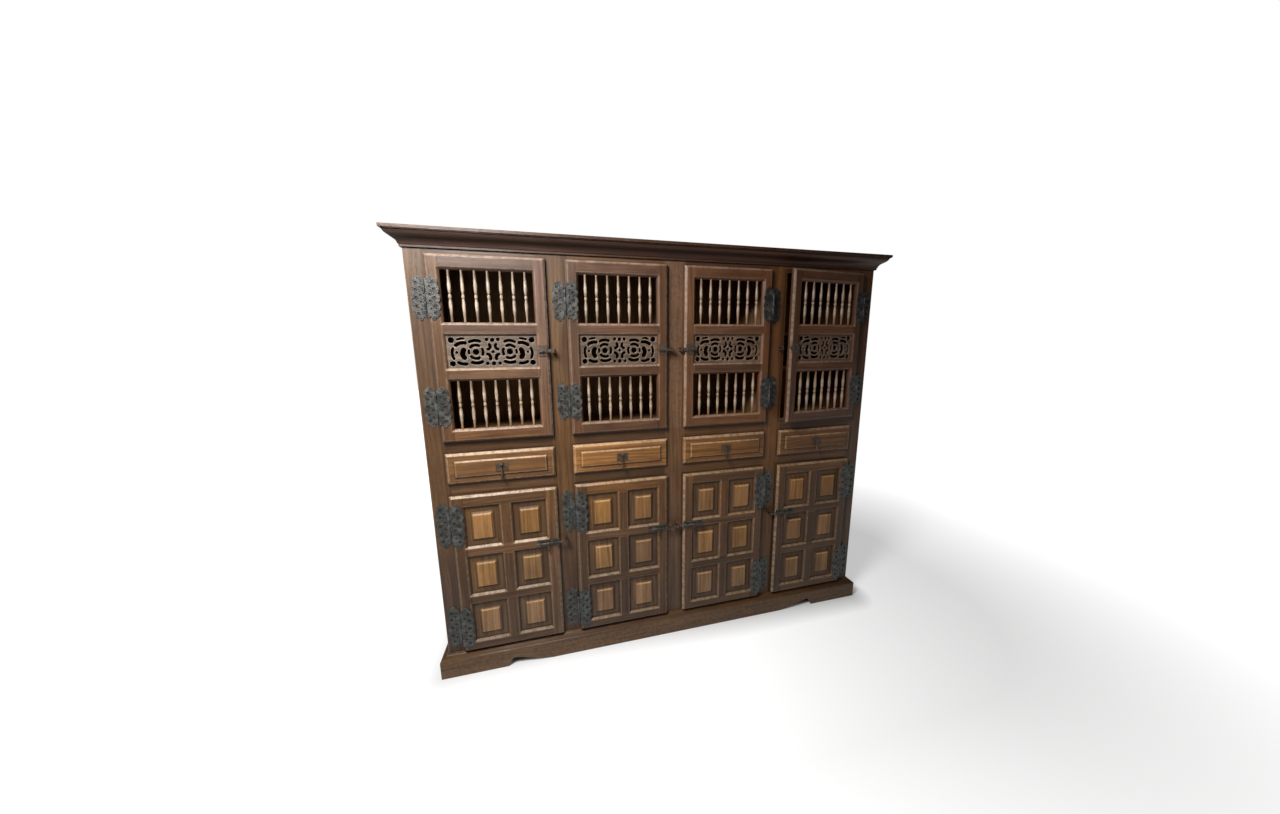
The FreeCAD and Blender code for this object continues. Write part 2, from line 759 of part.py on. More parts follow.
def hinge(name, width, height, barrel):
    """Both leaves and the pin of one hinge, centred on z = 0."""
    step = barrel / KNUCKLES
    bore = s.pin_radius + s.pin_clear
    low = -barrel / 2
    door_pieces, door_holes = leaf_plate(name + "_door", width, height, -s.iron_thick, 1)
    knuckle_height = step - 2 * s.knuckle_gap
    knuckle_z = s.knuckle_gap - step / 2
    door_pieces.append(rod(name + "_door_knuckle", s.barrel_radius, knuckle_height, z=knuckle_z))
    door_pieces.append(board(name + "_door_tab", ZERO, -s.iron_thick, knuckle_z,
                             s.pin_gap + width * spine_shares[0], s.iron_thick, knuckle_height))
    door_bore = rod(name + "_door_bore", bore, barrel, z=low)
    door_leaf = cut(name + "_door_leaf", join(name + "_door_plate", door_pieces), door_holes + [door_bore])

    post_pieces, post_holes = leaf_plate(name + "_post", width, height, door_stand - s.iron_thick, -1)
    foot = s.pin_gap + width * spine_shares[0]
    post_pieces.append(board(name + "_post_foot", -foot, door_stand - s.iron_thick, low,
                             foot - s.pin_gap + s.riser_thick, s.iron_thick, barrel))
    for number in (0, KNUCKLES - 1):
        z = low + step * number
        post_pieces.append(rod("%s_post_knuckle_%d" % (name, number), s.barrel_radius, step, z=z))
        post_pieces.append(board("%s_riser_%d" % (name, number), -s.pin_gap, ZERO, z, s.riser_thick,
                                 door_stand, step))
    post_bore = rod(name + "_post_bore", bore, barrel + 2 * s.overrun, z=low - s.overrun)
    post_leaf = cut(name + "_post_leaf", join(name + "_post_plate", post_pieces), post_holes + [post_bore])

    head = s.barrel_radius - s.pin_clear
    pin = join(name + "_pin", [
        rod(name + "_pin_shank", s.pin_radius, barrel + 2 * s.pin_head, z=low - s.pin_head),
        ball(name + "_pin_head", head, z=-low + head),
        ball(name + "_pin_foot", head, z=low - head)])
    return door_leaf, post_leaf, pin


upper_hinge = hinge("upper_hinge", s.upper_leaf_width, s.upper_leaf_height, s.upper_barrel)
lower_hinge = hinge("lower_hinge", s.lower_leaf_width, s.lower_leaf_height, s.lower_barrel)
upper_hinge_levels = (s.upper_hinge_low, s.upper_hinge_low + s.upper_hinge_rise)
lower_hinge_levels = (s.lower_hinge_low, s.lower_hinge_low + s.lower_hinge_rise)


# Slide bolts: a plate with two staples on the door, a bar that slides in them, a keeper on the post
def staple(name, x, y, z, width, depth, height, hole_depth, hole_height):
    """A strap bent over a bar: a block with a way through it along X, open at its back."""
    block = board(name + "_block", x, y, z - height / 2, width, depth, height)
    way = board(name + "_way", x - s.overrun, y + depth - hole_depth, z - hole_height / 2,
                width + 2 * s.overrun, hole_depth, hole_height)
    return cut(name, block, [way])


latch_clear_high = s.latch_bar_height + 2 * s.bolt_gap
latch_clear_deep = s.latch_bar_thick + 2 * s.bolt_gap
latch_staple_high = latch_clear_high + 2 * s.staple_wall
latch_staple_deep = latch_clear_deep + s.staple_wall
latch_plate_x = leaf_right - s.upper_stile / 2 - s.latch_plate_width / 2
latch_back = -s.iron_thick
latch_bar_y = latch_back - s.bolt_gap - s.latch_bar_thick
latch_pieces = [board("latch_plate", latch_plate_x, latch_back, s.latch_height - s.latch_plate_height / 2,
                      s.latch_plate_width, s.iron_thick, s.latch_plate_height)]
latch_right_staple = latch_plate_x + s.latch_plate_width - s.staple_width
for label, x in (("left", latch_plate_x), ("right", latch_right_staple)):
    latch_pieces.append(staple("latch_staple_" + label, x, latch_back - latch_staple_deep, s.latch_height,
                               s.staple_width, latch_staple_deep, latch_staple_high,
                               latch_clear_deep, latch_clear_high))
latch = join("latch", latch_pieces)
latch_tip = leaf_right + s.latch_reach
latch_tail = latch_plate_x - s.latch_reach / 2
latch_knob_x = latch_plate_x + s.staple_width + s.latch_knob_radius + s.bolt_gap
upper_bolt = join("upper_bolt_bar", [
    board("latch_bar", latch_tail, latch_bar_y, s.latch_height - s.latch_bar_height / 2,
          latch_tip - latch_tail, s.latch_bar_thick, s.latch_bar_height),
    rod("latch_knob_neck", s.latch_knob_radius / 2, s.latch_knob_stand - s.latch_knob_radius / 2,
        latch_knob_x, latch_bar_y - s.latch_knob_stand + s.latch_knob_radius / 2, s.latch_height, "y"),
    rod("latch_knob", s.latch_knob_radius, s.latch_knob_stand / 2, latch_knob_x,
        latch_bar_y - s.latch_knob_stand, s.latch_height, "y")])

rod_size = 2 * s.bolt_rod_radius
bolt_clear = rod_size + 2 * s.bolt_gap
bolt_staple_high = bolt_clear + 2 * s.staple_wall
bolt_staple_deep = bolt_clear + s.staple_wall
bolt_plate_x = leaf_right - s.bolt_plate_width
bolt_rod_y = -s.iron_thick - s.bolt_gap - s.bolt_rod_radius
bolt_pieces = [board("bolt_plate", bolt_plate_x, -s.iron_thick, s.bolt_height - s.bolt_plate_height / 2,
                     s.bolt_plate_width, s.iron_thick, s.bolt_plate_height)]
bolt_right_staple = leaf_right - s.bevel - s.staple_width
for label, x in (("left", bolt_plate_x + s.staple_width), ("right", bolt_right_staple)):
    bolt_pieces.append(staple("bolt_staple_" + label, x, -s.iron_thick - bolt_staple_deep, s.bolt_height,
                              s.staple_width, bolt_staple_deep, bolt_staple_high, bolt_clear, bolt_clear))
bolt_mount = join("bolt_mount", bolt_pieces)
bolt_tip = leaf_right + s.bolt_reach
bolt_tail = bolt_plate_x
bolt_handle_x = (bolt_plate_x + leaf_right) / 2
handle_y = bolt_rod_y - s.bolt_rod_radius
lower_bolt = join("lower_bolt_rod", [
    rod("bolt_rod", s.bolt_rod_radius, bolt_tip - bolt_tail, bolt_tail, bolt_rod_y, s.bolt_height, "x"),
    rod("bolt_collar", s.bolt_rod_radius + s.staple_wall, 2 * s.bolt_handle_radius,
        bolt_handle_x - s.bolt_handle_radius, bolt_rod_y - s.staple_wall, s.bolt_height, "x"),
    rod("bolt_handle", s.bolt_handle_radius, s.bolt_handle_length - s.bolt_handle_radius, bolt_handle_x,
        handle_y, s.bolt_height - s.bolt_handle_length + s.bolt_handle_radius),
    ball("bolt_handle_end", s.bolt_handle_radius + s.staple_wall / 2, bolt_handle_x, handle_y,
         s.bolt_height - s.bolt_handle_length + s.bolt_handle_radius)])

# Keepers stand on the post as far out as the bolts do.
latch_keeper_deep = door_stand + s.iron_thick + latch_staple_deep
latch_keeper = staple("latch_keeper", latch_tip + s.keeper_space, -s.iron_thick - latch_staple_deep,
                      s.latch_height, s.latch_travel - s.keeper_space, latch_keeper_deep, latch_staple_high,
                      latch_keeper_deep - s.staple_wall, latch_clear_high)
bolt_keeper_deep = door_stand + s.iron_thick + bolt_staple_deep
bolt_keeper = staple("bolt_keeper", bolt_tip + s.keeper_space, -s.iron_thick - bolt_staple_deep,
                     s.bolt_height, s.bolt_travel - s.keeper_space, bolt_keeper_deep, bolt_staple_high,
                     bolt_keeper_deep - s.staple_wall, bolt_clear)

# Everything that a door carries, for a left-hung door and mirrored for a right-hung one
leaf_sets = {
    "upper": {
        "frame": upper_frame,
        "spindles": upper_spindles,
        "fretwork": fretwork,
        "ironwork": group("upper_iron", [
            copy_at("upper_leaf_low", upper_hinge[0], z=upper_hinge_levels[0]),
            copy_at("upper_leaf_high", upper_hinge[0], z=upper_hinge_levels[1]), latch]),
        "bolt": upper_bolt,
    },
    "lower": {
        "frame": lower_frame,
        "panels": lower_panels,
        "ironwork": group("lower_iron", [
            copy_at("lower_leaf_low", lower_hinge[0], z=lower_hinge_levels[0]),
            copy_at("lower_leaf_high", lower_hinge[0], z=lower_hinge_levels[1]), bolt_mount]),
        "bolt": lower_bolt,
    },
}
post_sets = {
    "upper": group("upper_post_iron", [
        copy_at("upper_post_low", group("upper_post_pair_low", list(upper_hinge[1:])), z=upper_hinge_levels[0]),
        copy_at("upper_post_high", group("upper_post_pair_high", list(upper_hinge[1:])),
                z=upper_hinge_levels[1])]),
    "lower": group("lower_post_iron", [
        copy_at("lower_post_low", group("lower_post_pair_low", list(lower_hinge[1:])), z=lower_hinge_levels[0]),
        copy_at("lower_post_high", group("lower_post_pair_high", list(lower_hinge[1:])),
                z=lower_hinge_levels[1])]),
}
keepers = {"upper": latch_keeper, "lower": bolt_keeper}
RIGHT_HUNG = (False, False, True, True)
AJAR = ("upper", 3)
mirrored = {}
for row in leaf_sets:
    for part, shape in leaf_sets[row].items():
        mirrored[row, part] = mirror("%s_%s_mirrored" % (row, part), shape)
    mirrored[row, "post"] = mirror(row + "_post_mirrored", post_sets[row])
    mirrored[row, "keeper"] = mirror(row + "_keeper_mirrored", keepers[row])

post_iron = []
keeper_pieces = []
for row, level in (("upper", upper_door_z), ("lower", lower_door_z)):
    for bay in range(BAYS):
        right_hung = RIGHT_HUNG[bay]
        if right_hung:
            pin_x = bay_middle(bay) + s.door_width / 2 + s.pin_gap
        else:
            pin_x = bay_middle(bay) - s.door_width / 2 - s.pin_gap
        turn = s.ajar_angle if (row, bay) == AJAR else None
        for part, shape in leaf_sets[row].items():
            drawn = mirrored[row, part] if right_hung else shape
            node("%s_door_%d_%s" % (row, bay + 1, part), [drawn], pin_x, pin_y, level, turn)
        post = mirrored[row, "post"] if right_hung else post_sets[row]
        keeper = mirrored[row, "keeper"] if right_hung else keepers[row]
        post_iron.append(copy_at("%s_post_iron_%d" % (row, bay), post, pin_x, pin_y, level))
        keeper_pieces.append(copy_at("%s_keeper_%d" % (row, bay), keeper, pin_x, pin_y, level))
node("hinge_post_leaves", post_iron)
node("bolt_keepers", keeper_pieces)

# Drawer: a front with a raised field, and a box behind it. The front's face is y = 0, its bottom z = 0.
half_front = s.door_width / 2
front_body = padded("drawer_front", "XZ_Plane", [rectangle(-half_front, ZERO, half_front, s.drawer_height)],
                    s.door_thick - s.field_raise)
bevel_front(front_body, s.bevel, s.field_raise - s.door_thick)
front_board = place(group("drawer_front_board", [front_body]), ZERO, s.door_thick, ZERO)
field_x = half_front - s.field_margin_x
field = padded("drawer_field", "XZ_Plane",
               [rectangle(-field_x, s.field_margin_z, field_x, s.drawer_height - s.field_margin_z)],
               s.field_raise)
bevel_front(field, s.field_bevel, -s.field_raise)
field_board = place(group("drawer_field_board", [field]), ZERO, s.field_raise, ZERO)
drawer_front = join("drawer_front_whole", [front_board, field_board])
box_half = opening_half - s.side_clear
box_z = s.door_lap + s.slide_gap
box_y = s.door_thick
drawer_box = group("drawer_box", [
    drawer_front,
    board("drawer_left_side", -box_half, box_y, box_z, s.drawer_side, s.drawer_depth, s.drawer_side_height),
    board("drawer_right_side", box_half - s.drawer_side, box_y, box_z, s.drawer_side, s.drawer_depth,
          s.drawer_side_height),
    board("drawer_back", s.drawer_side - box_half, box_y + s.drawer_depth - s.drawer_side, box_z,
          2 * (box_half - s.drawer_side), s.drawer_side, s.drawer_side_height),
    board("drawer_base", s.drawer_side - box_half, box_y, box_z, 2 * (box_half - s.drawer_side),
          s.drawer_depth - s.drawer_side, s.drawer_bottom)])

# Pull: a plate with two ears and a pin, and a drop that hangs from the pin
pull_y = -s.iron_thick - s.knuckle_gap - s.drop_radius
pull_z = s.drawer_height / 2 + s.pull_rise
ear_gap = s.drop_eye_width / 2 + s.knuckle_gap
ear_low = pull_z - s.drop_eye_radius
ears = []
for label, x in (("left", -ear_gap - s.ear_thick), ("right", ear_gap)):
    ears.append(board("pull_ear_" + label, x, pull_y - s.drop_eye_radius, ear_low, s.ear_thick,
                      s.drop_eye_radius - s.iron_thick - pull_y, 2 * s.drop_eye_radius))
plate_z = (s.drawer_height - s.pull_plate_height) / 2
pull_span = 2 * (ear_gap + s.ear_thick)
pull_bore = rod("pull_bore", s.drop_pin_radius, pull_span, -pull_span / 2, pull_y, pull_z, "x")
pull_plate = cut("pull_plate", join("pull_plate_ears", [
    board("pull_back_plate", -s.pull_plate_width / 2, -s.iron_thick, plate_z, s.pull_plate_width,
          s.iron_thick, s.pull_plate_height)] + ears), [pull_bore])
pull_pin = rod("pull_pin", s.drop_pin_radius, pull_span, -pull_span / 2, pull_y, pull_z, "x")
pull_fixed = group("pull_fixed", [pull_plate, pull_pin])

drop_shares = [(0, 0.34), (0.30, 0.30), (0.42, 0.52), (0.46, 0.36), (0.62, 0.62), (0.76, 0.92), (0.86, 1),
               (0.94, 0.80), (1, 0)]
drop_corners = [(ZERO, ZERO)]
for along, out in drop_shares[:-1]:
    drop_corners.append((s.drop_radius * out, -s.drop_length * along))
drop_corners.append((ZERO, -s.drop_length))
drop_stem = turned("drop_stem", drop_corners)
drop_eye = rod("drop_eye", s.drop_eye_radius, s.drop_eye_width, -s.drop_eye_width / 2, along="x")
drop_bore = rod("drop_bore", s.drop_pin_radius + s.pin_clear, pull_span, -pull_span / 2, along="x")
drop = cut("drop", join("drop_whole", [drop_stem, drop_eye]), [drop_bore])

for bay in range(BAYS):
    x = bay_middle(bay)
    name = "drawer_%d" % (bay + 1)
    node(name + "_box", [drawer_box], x, pin_y, drawer_z)
    node(name + "_pull_plate", [pull_fixed], x, pin_y, drawer_z)
    node(name + "_pull_drop", [drop], x, pin_y + pull_y, drawer_z + pull_z)

doc.recompute()

# Nothing is written until every object is sound.
for item in doc.Objects:
    if "Invalid" in item.State or "Error" in item.State:
        raise RuntimeError("%s did not build: %s" % (item.Name, item.State))
for name, item in nodes.items():
    shape = item.Shape
    if shape.isNull() or not shape.isValid() or not shape.Solids:
        raise RuntimeError("%s has no sound shape" % name)
for name, item in nodes.items():
    item.Shape.exportStep("parts/%s.step" % name)
    print("%-26s %3d solids  %12.0f mm3" % (name, len(item.Shape.Solids), item.Shape.Volume))
print("%d nodes" % len(nodes))
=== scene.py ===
# %% [markdown]
# # A trastero: a four-bay storage cabinet with grille doors above and panelled doors below
# The real cabinet is a case of boards with a framed front. Its doors hang on pierced iron hinges, and every
# board in it was sawn, planed, stained brown and waxed.
# The solids of the cabinet come in first and stay where they are. The pieces made here sit around them.

# %% Load the frame
import math

import bmesh
import bpy
import numpy as np
from mathutils import Matrix, Vector


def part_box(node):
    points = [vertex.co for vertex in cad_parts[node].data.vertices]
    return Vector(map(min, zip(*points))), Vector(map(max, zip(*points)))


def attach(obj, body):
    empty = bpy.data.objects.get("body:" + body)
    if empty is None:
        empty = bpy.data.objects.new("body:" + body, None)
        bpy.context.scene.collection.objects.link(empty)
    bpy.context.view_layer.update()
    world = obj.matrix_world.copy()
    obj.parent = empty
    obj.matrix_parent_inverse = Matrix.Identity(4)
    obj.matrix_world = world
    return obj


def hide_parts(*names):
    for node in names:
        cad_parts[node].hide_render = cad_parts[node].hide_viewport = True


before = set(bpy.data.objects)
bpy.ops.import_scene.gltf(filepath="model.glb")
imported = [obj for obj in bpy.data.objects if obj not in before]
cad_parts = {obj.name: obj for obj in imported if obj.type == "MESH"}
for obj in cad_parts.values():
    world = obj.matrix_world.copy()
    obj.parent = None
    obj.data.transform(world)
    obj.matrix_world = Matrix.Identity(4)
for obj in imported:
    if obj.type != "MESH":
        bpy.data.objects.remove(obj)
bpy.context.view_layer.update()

# %% [markdown]
# ## Measures
# All lengths are in metres. The places come from the solids, so that a new piece sits on what carries it,
# and the sizes of a door are those that its joiner would mark on a rod: stiles, rails, openings and bevels.

# %% Measures of the cabinet
BAYS = (1, 2, 3, 4)
BAY_PITCH = 0.534
BAY_X = {bay: BAY_PITCH * (bay - 2.5) for bay in BAYS}
RIGHT_HUNG = (3, 4)
AJAR = ("upper", 4)
AJAR_ANGLE = math.radians(5.5)

FACE_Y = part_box("face_frame")[0].y
FRAME_THICK = 0.022
BACK_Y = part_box("back_boards")[1].y
HALF_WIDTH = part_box("top_board")[1].x
DOOR_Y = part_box("drawer_1_box")[0].y
DOOR_THICK = 0.022
DOOR_WIDTH = 0.452
HALF_FRONT = DOOR_WIDTH / 2
PIN_GAP = 0.0055
BEVEL = 0.009
LEAF_LEFT = PIN_GAP
LEAF_RIGHT = PIN_GAP + DOOR_WIDTH
LEVEL = {"upper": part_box("upper_door_1_frame")[0].z, "lower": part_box("lower_door_1_frame")[0].z}
DRAWER_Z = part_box("drawer_1_box")[0].z
print("front plane %.4f, doors' front %.4f, back %.4f" % (FACE_Y, DOOR_Y, BACK_Y))

# %% [markdown]
# ## The camera
# The photograph was taken close up with a wide lens, left of the middle and half a metre below the top,
# looking down and to the right. That is why the cabinet narrows so strongly to the right.

# %% Camera
CAMERA_AT = Vector((-0.539, -1.7413, 1.4810))
YAW, PITCH, ROLL = math.radians(13.19), math.radians(9.28), math.radians(-0.69)
SENSOR_WIDTH = 36.0
LENS_SHARE = 343.0 / 1280.0

camera_data = bpy.data.cameras.new("camera")
camera_data.sensor_fit = "HORIZONTAL"
camera_data.sensor_width = SENSOR_WIDTH
camera_data.lens = LENS_SHARE * SENSOR_WIDTH
camera_data.clip_start = 0.05
camera_data.clip_end = 60.0
camera = bpy.data.objects.new("camera", camera_data)
bpy.context.scene.collection.objects.link(camera)
ahead = Vector((math.sin(YAW) * math.cos(PITCH), math.cos(YAW) * math.cos(PITCH), -math.sin(PITCH)))
level_right = Vector((math.cos(YAW), -math.sin(YAW), 0.0))
level_up = level_right.cross(ahead)
right = level_right * math.cos(ROLL) + level_up * math.sin(ROLL)
up = -level_right * math.sin(ROLL) + level_up * math.cos(ROLL)
camera.matrix_world = Matrix((
    (right.x, up.x, -ahead.x, CAMERA_AT.x),
    (right.y, up.y, -ahead.y, CAMERA_AT.y),
    (right.z, up.z, -ahead.z, CAMERA_AT.z),
    (0.0, 0.0, 0.0, 1.0)))
bpy.context.scene.camera = camera
bpy.context.scene.view_settings.view_transform = "Standard"
print("camera lens %.2f mm" % camera_data.lens)

# %% [markdown]
# ## Shader nodes
# A finish is a small network: noises give numbers, ramps turn them into colours, and a shader takes both.

# %% Small helpers for shader nodes
PROPERTIES = {"op": "operation", "clamp": "use_clamp", "feature": "feature", "uv_map": "uv_map"}


def add_node(tree, kind, **settings):
    """A new shader node. A setting that isn't a property names an input, by its name or as i and its number,
    and sets or links it."""
    made = tree.nodes.new(kind)
    for key, value in settings.items():
        if key in PROPERTIES:
            setattr(made, PROPERTIES[key], value)
            continue
        numbered = key[0] == "i" and key[1:].isdigit()
        socket = made.inputs[int(key[1:]) if numbered else key.replace("_", " ")]
        if isinstance(value, bpy.types.NodeSocket):
            tree.links.new(value, socket)
        else:
            socket.default_value = value
    return made


def new_finish(name):
    """A new material with nothing in it yet, and its tree."""
    made = bpy.data.materials.new(name)
    made.use_nodes = True
    made.node_tree.nodes.clear()
    return made, made.node_tree


def show(tree, shader):
    """Sends a shader to the tree's output."""
    tree.links.new(shader.outputs[0], tree.nodes.new("ShaderNodeOutputMaterial").inputs["Surface"])


def object_place(tree):
    """The place of a point in the cabinet."""
    return tree.nodes.new("ShaderNodeTexCoord").outputs["Object"]


print("node properties set by name:", sorted(PROPERTIES))


# %% Ramps, sums and noises
def ramp_node(tree, value, stops):
    """A colour ramp through (place, colour) stops."""
    made = tree.nodes.new("ShaderNodeValToRGB")
    tree.links.new(value, made.inputs[0])
    while len(made.color_ramp.elements) < len(stops):
        made.color_ramp.elements.new(0.5)
    for element, (place, colour) in zip(made.color_ramp.elements, stops):
        element.position = place
        element.color = tuple(colour) + (1.0,)
    return made.outputs["Color"]


def sums(tree, op, first, second, clamp=False):
    """One sum of two numbers or sockets."""
    return add_node(tree, "ShaderNodeMath", op=op, clamp=clamp, i0=first, i1=second).outputs[0]


def blend(tree, share, first, second, how="MIX"):
    """Two colours mixed by a share."""
    made = tree.nodes.new("ShaderNodeMix")
    made.data_type = "RGBA"
    made.blend_type = how
    for socket, value in ((made.inputs[0], share), (made.inputs[6], first), (made.inputs[7], second)):
        if isinstance(value, bpy.types.NodeSocket):
            tree.links.new(value, socket)
        elif socket.type == "RGBA" and len(value) == 3:
            socket.default_value = tuple(value) + (1.0,)
        else:
            socket.default_value = value
    return made.outputs[2]


def times_plus(tree, first, factor, rest):
    """A number times a factor, plus another number."""
    return add_node(tree, "ShaderNodeMath", op="MULTIPLY_ADD", i0=first, i1=factor, i2=rest).outputs[0]


def vectors(tree, op, first, second):
    """One sum of two vectors."""
    return add_node(tree, "ShaderNodeVectorMath", op=op, i0=first, i1=second).outputs[0]


def scaled(tree, vector, by):
    """A vector or colour times a number."""
    return add_node(tree, "ShaderNodeVectorMath", op="SCALE", i0=vector, Scale=by).outputs[0]


def ranged(tree, value, low, high, to_low=0.0, to_high=1.0):
    """A number carried from one range to another, and held at its ends."""
    return add_node(tree, "ShaderNodeMapRange", Value=value, i1=low, i2=high, i3=to_low,
                    i4=to_high).outputs[0]


def noise(tree, vector, detail, roughness=0.5, scale=1.0):
    """A noise about 0.5."""
    return add_node(tree, "ShaderNodeTexNoise", Vector=vector, Scale=scale, Detail=detail,
                    Roughness=roughness).outputs[0]


def stretched(tree, vector, across, along):
    """The grain coordinates scaled across the fibres and along them, and left alone from board to board."""
    return vectors(tree, "MULTIPLY", vector, (across, along, 1.0))


def drawn_noise(tree, vector, across, along, detail, roughness=0.5):
    """A noise that is drawn out along the fibres."""
    return noise(tree, stretched(tree, vector, across, along), detail, roughness)


print("ramps, sums and noises are ready")


# %% [markdown]
# ## The floor, the backdrop and the light
# A plain studio: a white floor that keeps the lamps' shadow and has a painted shadow round the cabinet's
# foot, a white world, one soft lamp close by on the left, above the cabinet's top and a metre before its
# doors, and a weak one far in front. The near lamp grazes the doors, so sills and top edges shine and the
# light falls off along the cabinet, as in the photograph.

# %% Floor and backdrop
# Glow by distance from the cabinet's foot: less glow near it paints a shadow on the floor.
PAINTED_SHADOW_NEAR = (0.0, 0.15, 0.0, 0.52)
PAINTED_SHADOW_FAR = (0.7, 1.9, 0.0, 0.48)
LEFT_GLOW = (-2.0, -1.2, 0.3, 0.0)


def white_floor():
    """A pale floor. Camera and mirror rays also see it glow, by its distance from the cabinet's foot: not at
    all under the case and little near its foot, which paints the cabinet's shadow on the floor, and fully a
    few metres away, where it meets the backdrop."""
    made, tree = new_finish("white_floor")
    place = object_place(tree)
    apart = add_node(tree, "ShaderNodeVectorMath", op="ABSOLUTE", i0=place).outputs[0]
    apart = vectors(tree, "SUBTRACT", apart, (HALF_WIDTH, -FACE_Y, 1.0))
    apart = add_node(tree, "ShaderNodeVectorMath", op="MAXIMUM", i0=apart).outputs[0]
    reach = add_node(tree, "ShaderNodeVectorMath", op="LENGTH", i0=apart).outputs["Value"]
    leftness = add_node(tree, "ShaderNodeSeparateXYZ", Vector=place).outputs[0]
    # Painted shadow: no glow under the case and little near its foot.
    near, far = ranged(tree, reach, *PAINTED_SHADOW_NEAR), ranged(tree, reach, *PAINTED_SHADOW_FAR)
    glow = sums(tree, "ADD", sums(tree, "ADD", near, far), ranged(tree, leftness, *LEFT_GLOW))
    glow = add_node(tree, "ShaderNodeEmission", Strength=glow)
    cloth = add_node(tree, "ShaderNodeBsdfDiffuse", Color=(0.60, 0.60, 0.60, 1.0))
    seen = tree.nodes.new("ShaderNodeLightPath")
    either = sums(tree, "MAXIMUM", seen.outputs["Is Camera Ray"], seen.outputs["Is Glossy Ray"])
    both = add_node(tree, "ShaderNodeAddShader", i0=cloth.outputs[0], i1=glow.outputs[0])
    show(tree, add_node(tree, "ShaderNodeMixShader", i0=either, i1=cloth.outputs[0], i2=both.outputs[0]))
    return made


FLOOR_HALF, FLOOR_DROP = 14.0, 0.0006
SKY_STRENGTH = 0.035
floor_mesh = bpy.data.meshes.new("floor")
floor_mesh.from_pydata([(across * FLOOR_HALF, deep * FLOOR_HALF, -FLOOR_DROP)
                        for across, deep in ((-1, -1), (1, -1), (1, 1), (-1, 1))], [], [(0, 1, 2, 3)])
floor_mesh.materials.append(white_floor())
floor = bpy.data.objects.new("floor", floor_mesh)
bpy.context.scene.collection.objects.link(floor)

world = bpy.data.worlds.new("studio")
bpy.context.scene.world = world
world.use_nodes = True
world_tree = world.node_tree
world_tree.nodes.clear()
sky = add_node(world_tree, "ShaderNodeBackground", Color=(1.0, 1.0, 1.0, 1.0), Strength=SKY_STRENGTH)
white = add_node(world_tree, "ShaderNodeBackground", Color=(1.0, 1.0, 1.0, 1.0))
rays = world_tree.nodes.new("ShaderNodeLightPath")
world_mix = add_node(world_tree, "ShaderNodeMixShader", i0=rays.outputs["Is Camera Ray"], i1=sky.outputs[0],
                     i2=white.outputs[0])
add_node(world_tree, "ShaderNodeOutputWorld", Surface=world_mix.outputs[0])
print("floor %.0f m wide under a white world" % (2 * FLOOR_HALF))


# %% Lamps
def soft_lamp(name, at, towards, side, power, colour=(1.0, 1.0, 1.0), spread=180.0):
    """A square area lamp at a point, facing another, with its light kept to a cone if asked."""
    data = bpy.data.lights.new(name, "AREA")
    data.shape = "RECTANGLE"
    data.size = data.size_y = side
    data.energy = power
    data.color = colour
    data.spread = math.radians(spread)
    lamp = bpy.data.objects.new(name, data)
    lamp.location = at
    lamp.rotation_euler = (Vector(towards) - Vector(at)).to_track_quat("-Z", "Y").to_euler()
    bpy.context.scene.collection.objects.link(lamp)


soft_lamp("key_lamp", at=(-1.2, -1.2, 2.5), towards=(-0.70, -0.2, 0.95), side=0.7, power=51.0, spread=130.0)
soft_lamp("fill_lamp", at=(0.8, -3.4, 2.0), towards=(0.2, 0.0, 0.9), side=2.0, power=2.6,
          colour=(1.0, 0.84, 0.70))

# %% [markdown]
# ## Surfaces from numpy
# Every new piece is a set of patches. A patch is a grid of points, worked out as whole arrays, with two
# more pairs of numbers for each point: the grain (metres across and along the fibres of that board), and
# the marks (which board it is, and how much lighter or darker it is painted there, for wear, dirt, painted
# highlight and painted shade, 0.5 being neither).
# The patches of a piece are sewn together at their common edges, so that it is one closed skin. Where the
# skin turns by more than the crease angle it stays sharp: boards, mouldings and round pieces have their own.

# %% Patches and how they are sewn
NEITHER = 0.5
SEWN, VANISHING = 4e-6, 1e-7
BOARDLIKE, MITRE, ROUNDED = 32.0, 38.0, 50.0


def patch(points, across, along, tone, marks=NEITHER):
    """Packs one grid: points (rows, columns, 3), its grain coordinates, the board's tone and its marks."""
    points = np.asarray(points, float)
    rows, columns = points.shape[:2]
    extra = np.empty((rows, columns, 4))
    extra[..., 0] = across
    extra[..., 1] = along
    extra[..., 2] = tone
    extra[..., 3] = marks
    index = np.arange(rows * columns).reshape(rows, columns)
    quads = np.stack([index[:-1, :-1], index[:-1, 1:], index[1:, 1:], index[1:, :-1]], -1)
    return points.reshape(-1, 3), extra.reshape(-1, 4), quads.reshape(-1, 4)


def moved(patches, matrix):
    """The same patches with every point carried through a 4 by 4 matrix."""
    turn, shift = np.array(matrix, float)[:3, :3], np.array(matrix, float)[:3, 3]
    return [(points @ turn.T + shift, extra, quads) for points, extra, quads in patches]


def sew(name, patches, crease):
    """One mesh from many patches: the grids' quads, doubles merged, faces outwards, sharp past the crease."""
    starts = np.cumsum([0] + [len(points) for points, _, _ in patches[:-1]])
    points = np.concatenate([points for points, _, _ in patches])
    extras = np.concatenate([extra for _, extra, _ in patches])
    quads = np.concatenate([quads + start for (_, _, quads), start in zip(patches, starts)])
    mesh = bpy.data.meshes.new(name)
    mesh.from_pydata(points, [], quads)
    for layer_name, columns in (("grain", slice(0, 2)), ("marks", slice(2, 4))):
        layer = mesh.uv_layers.new(name=layer_name)
        layer.data.foreach_set("uv", extras[quads.ravel(), columns].astype(np.float32).ravel())
    work = bmesh.new()
    work.from_mesh(mesh)
    bmesh.ops.remove_doubles(work, verts=work.verts, dist=SEWN)
    bmesh.ops.dissolve_degenerate(work, edges=work.edges, dist=VANISHING)
    bmesh.ops.recalc_face_normals(work, faces=work.faces)
    work.to_mesh(mesh)
    work.free()
    mesh.polygons.foreach_set("use_smooth", np.ones(len(mesh.polygons), bool))
    mesh.set_sharp_from_angle(angle=math.radians(crease))
    return mesh


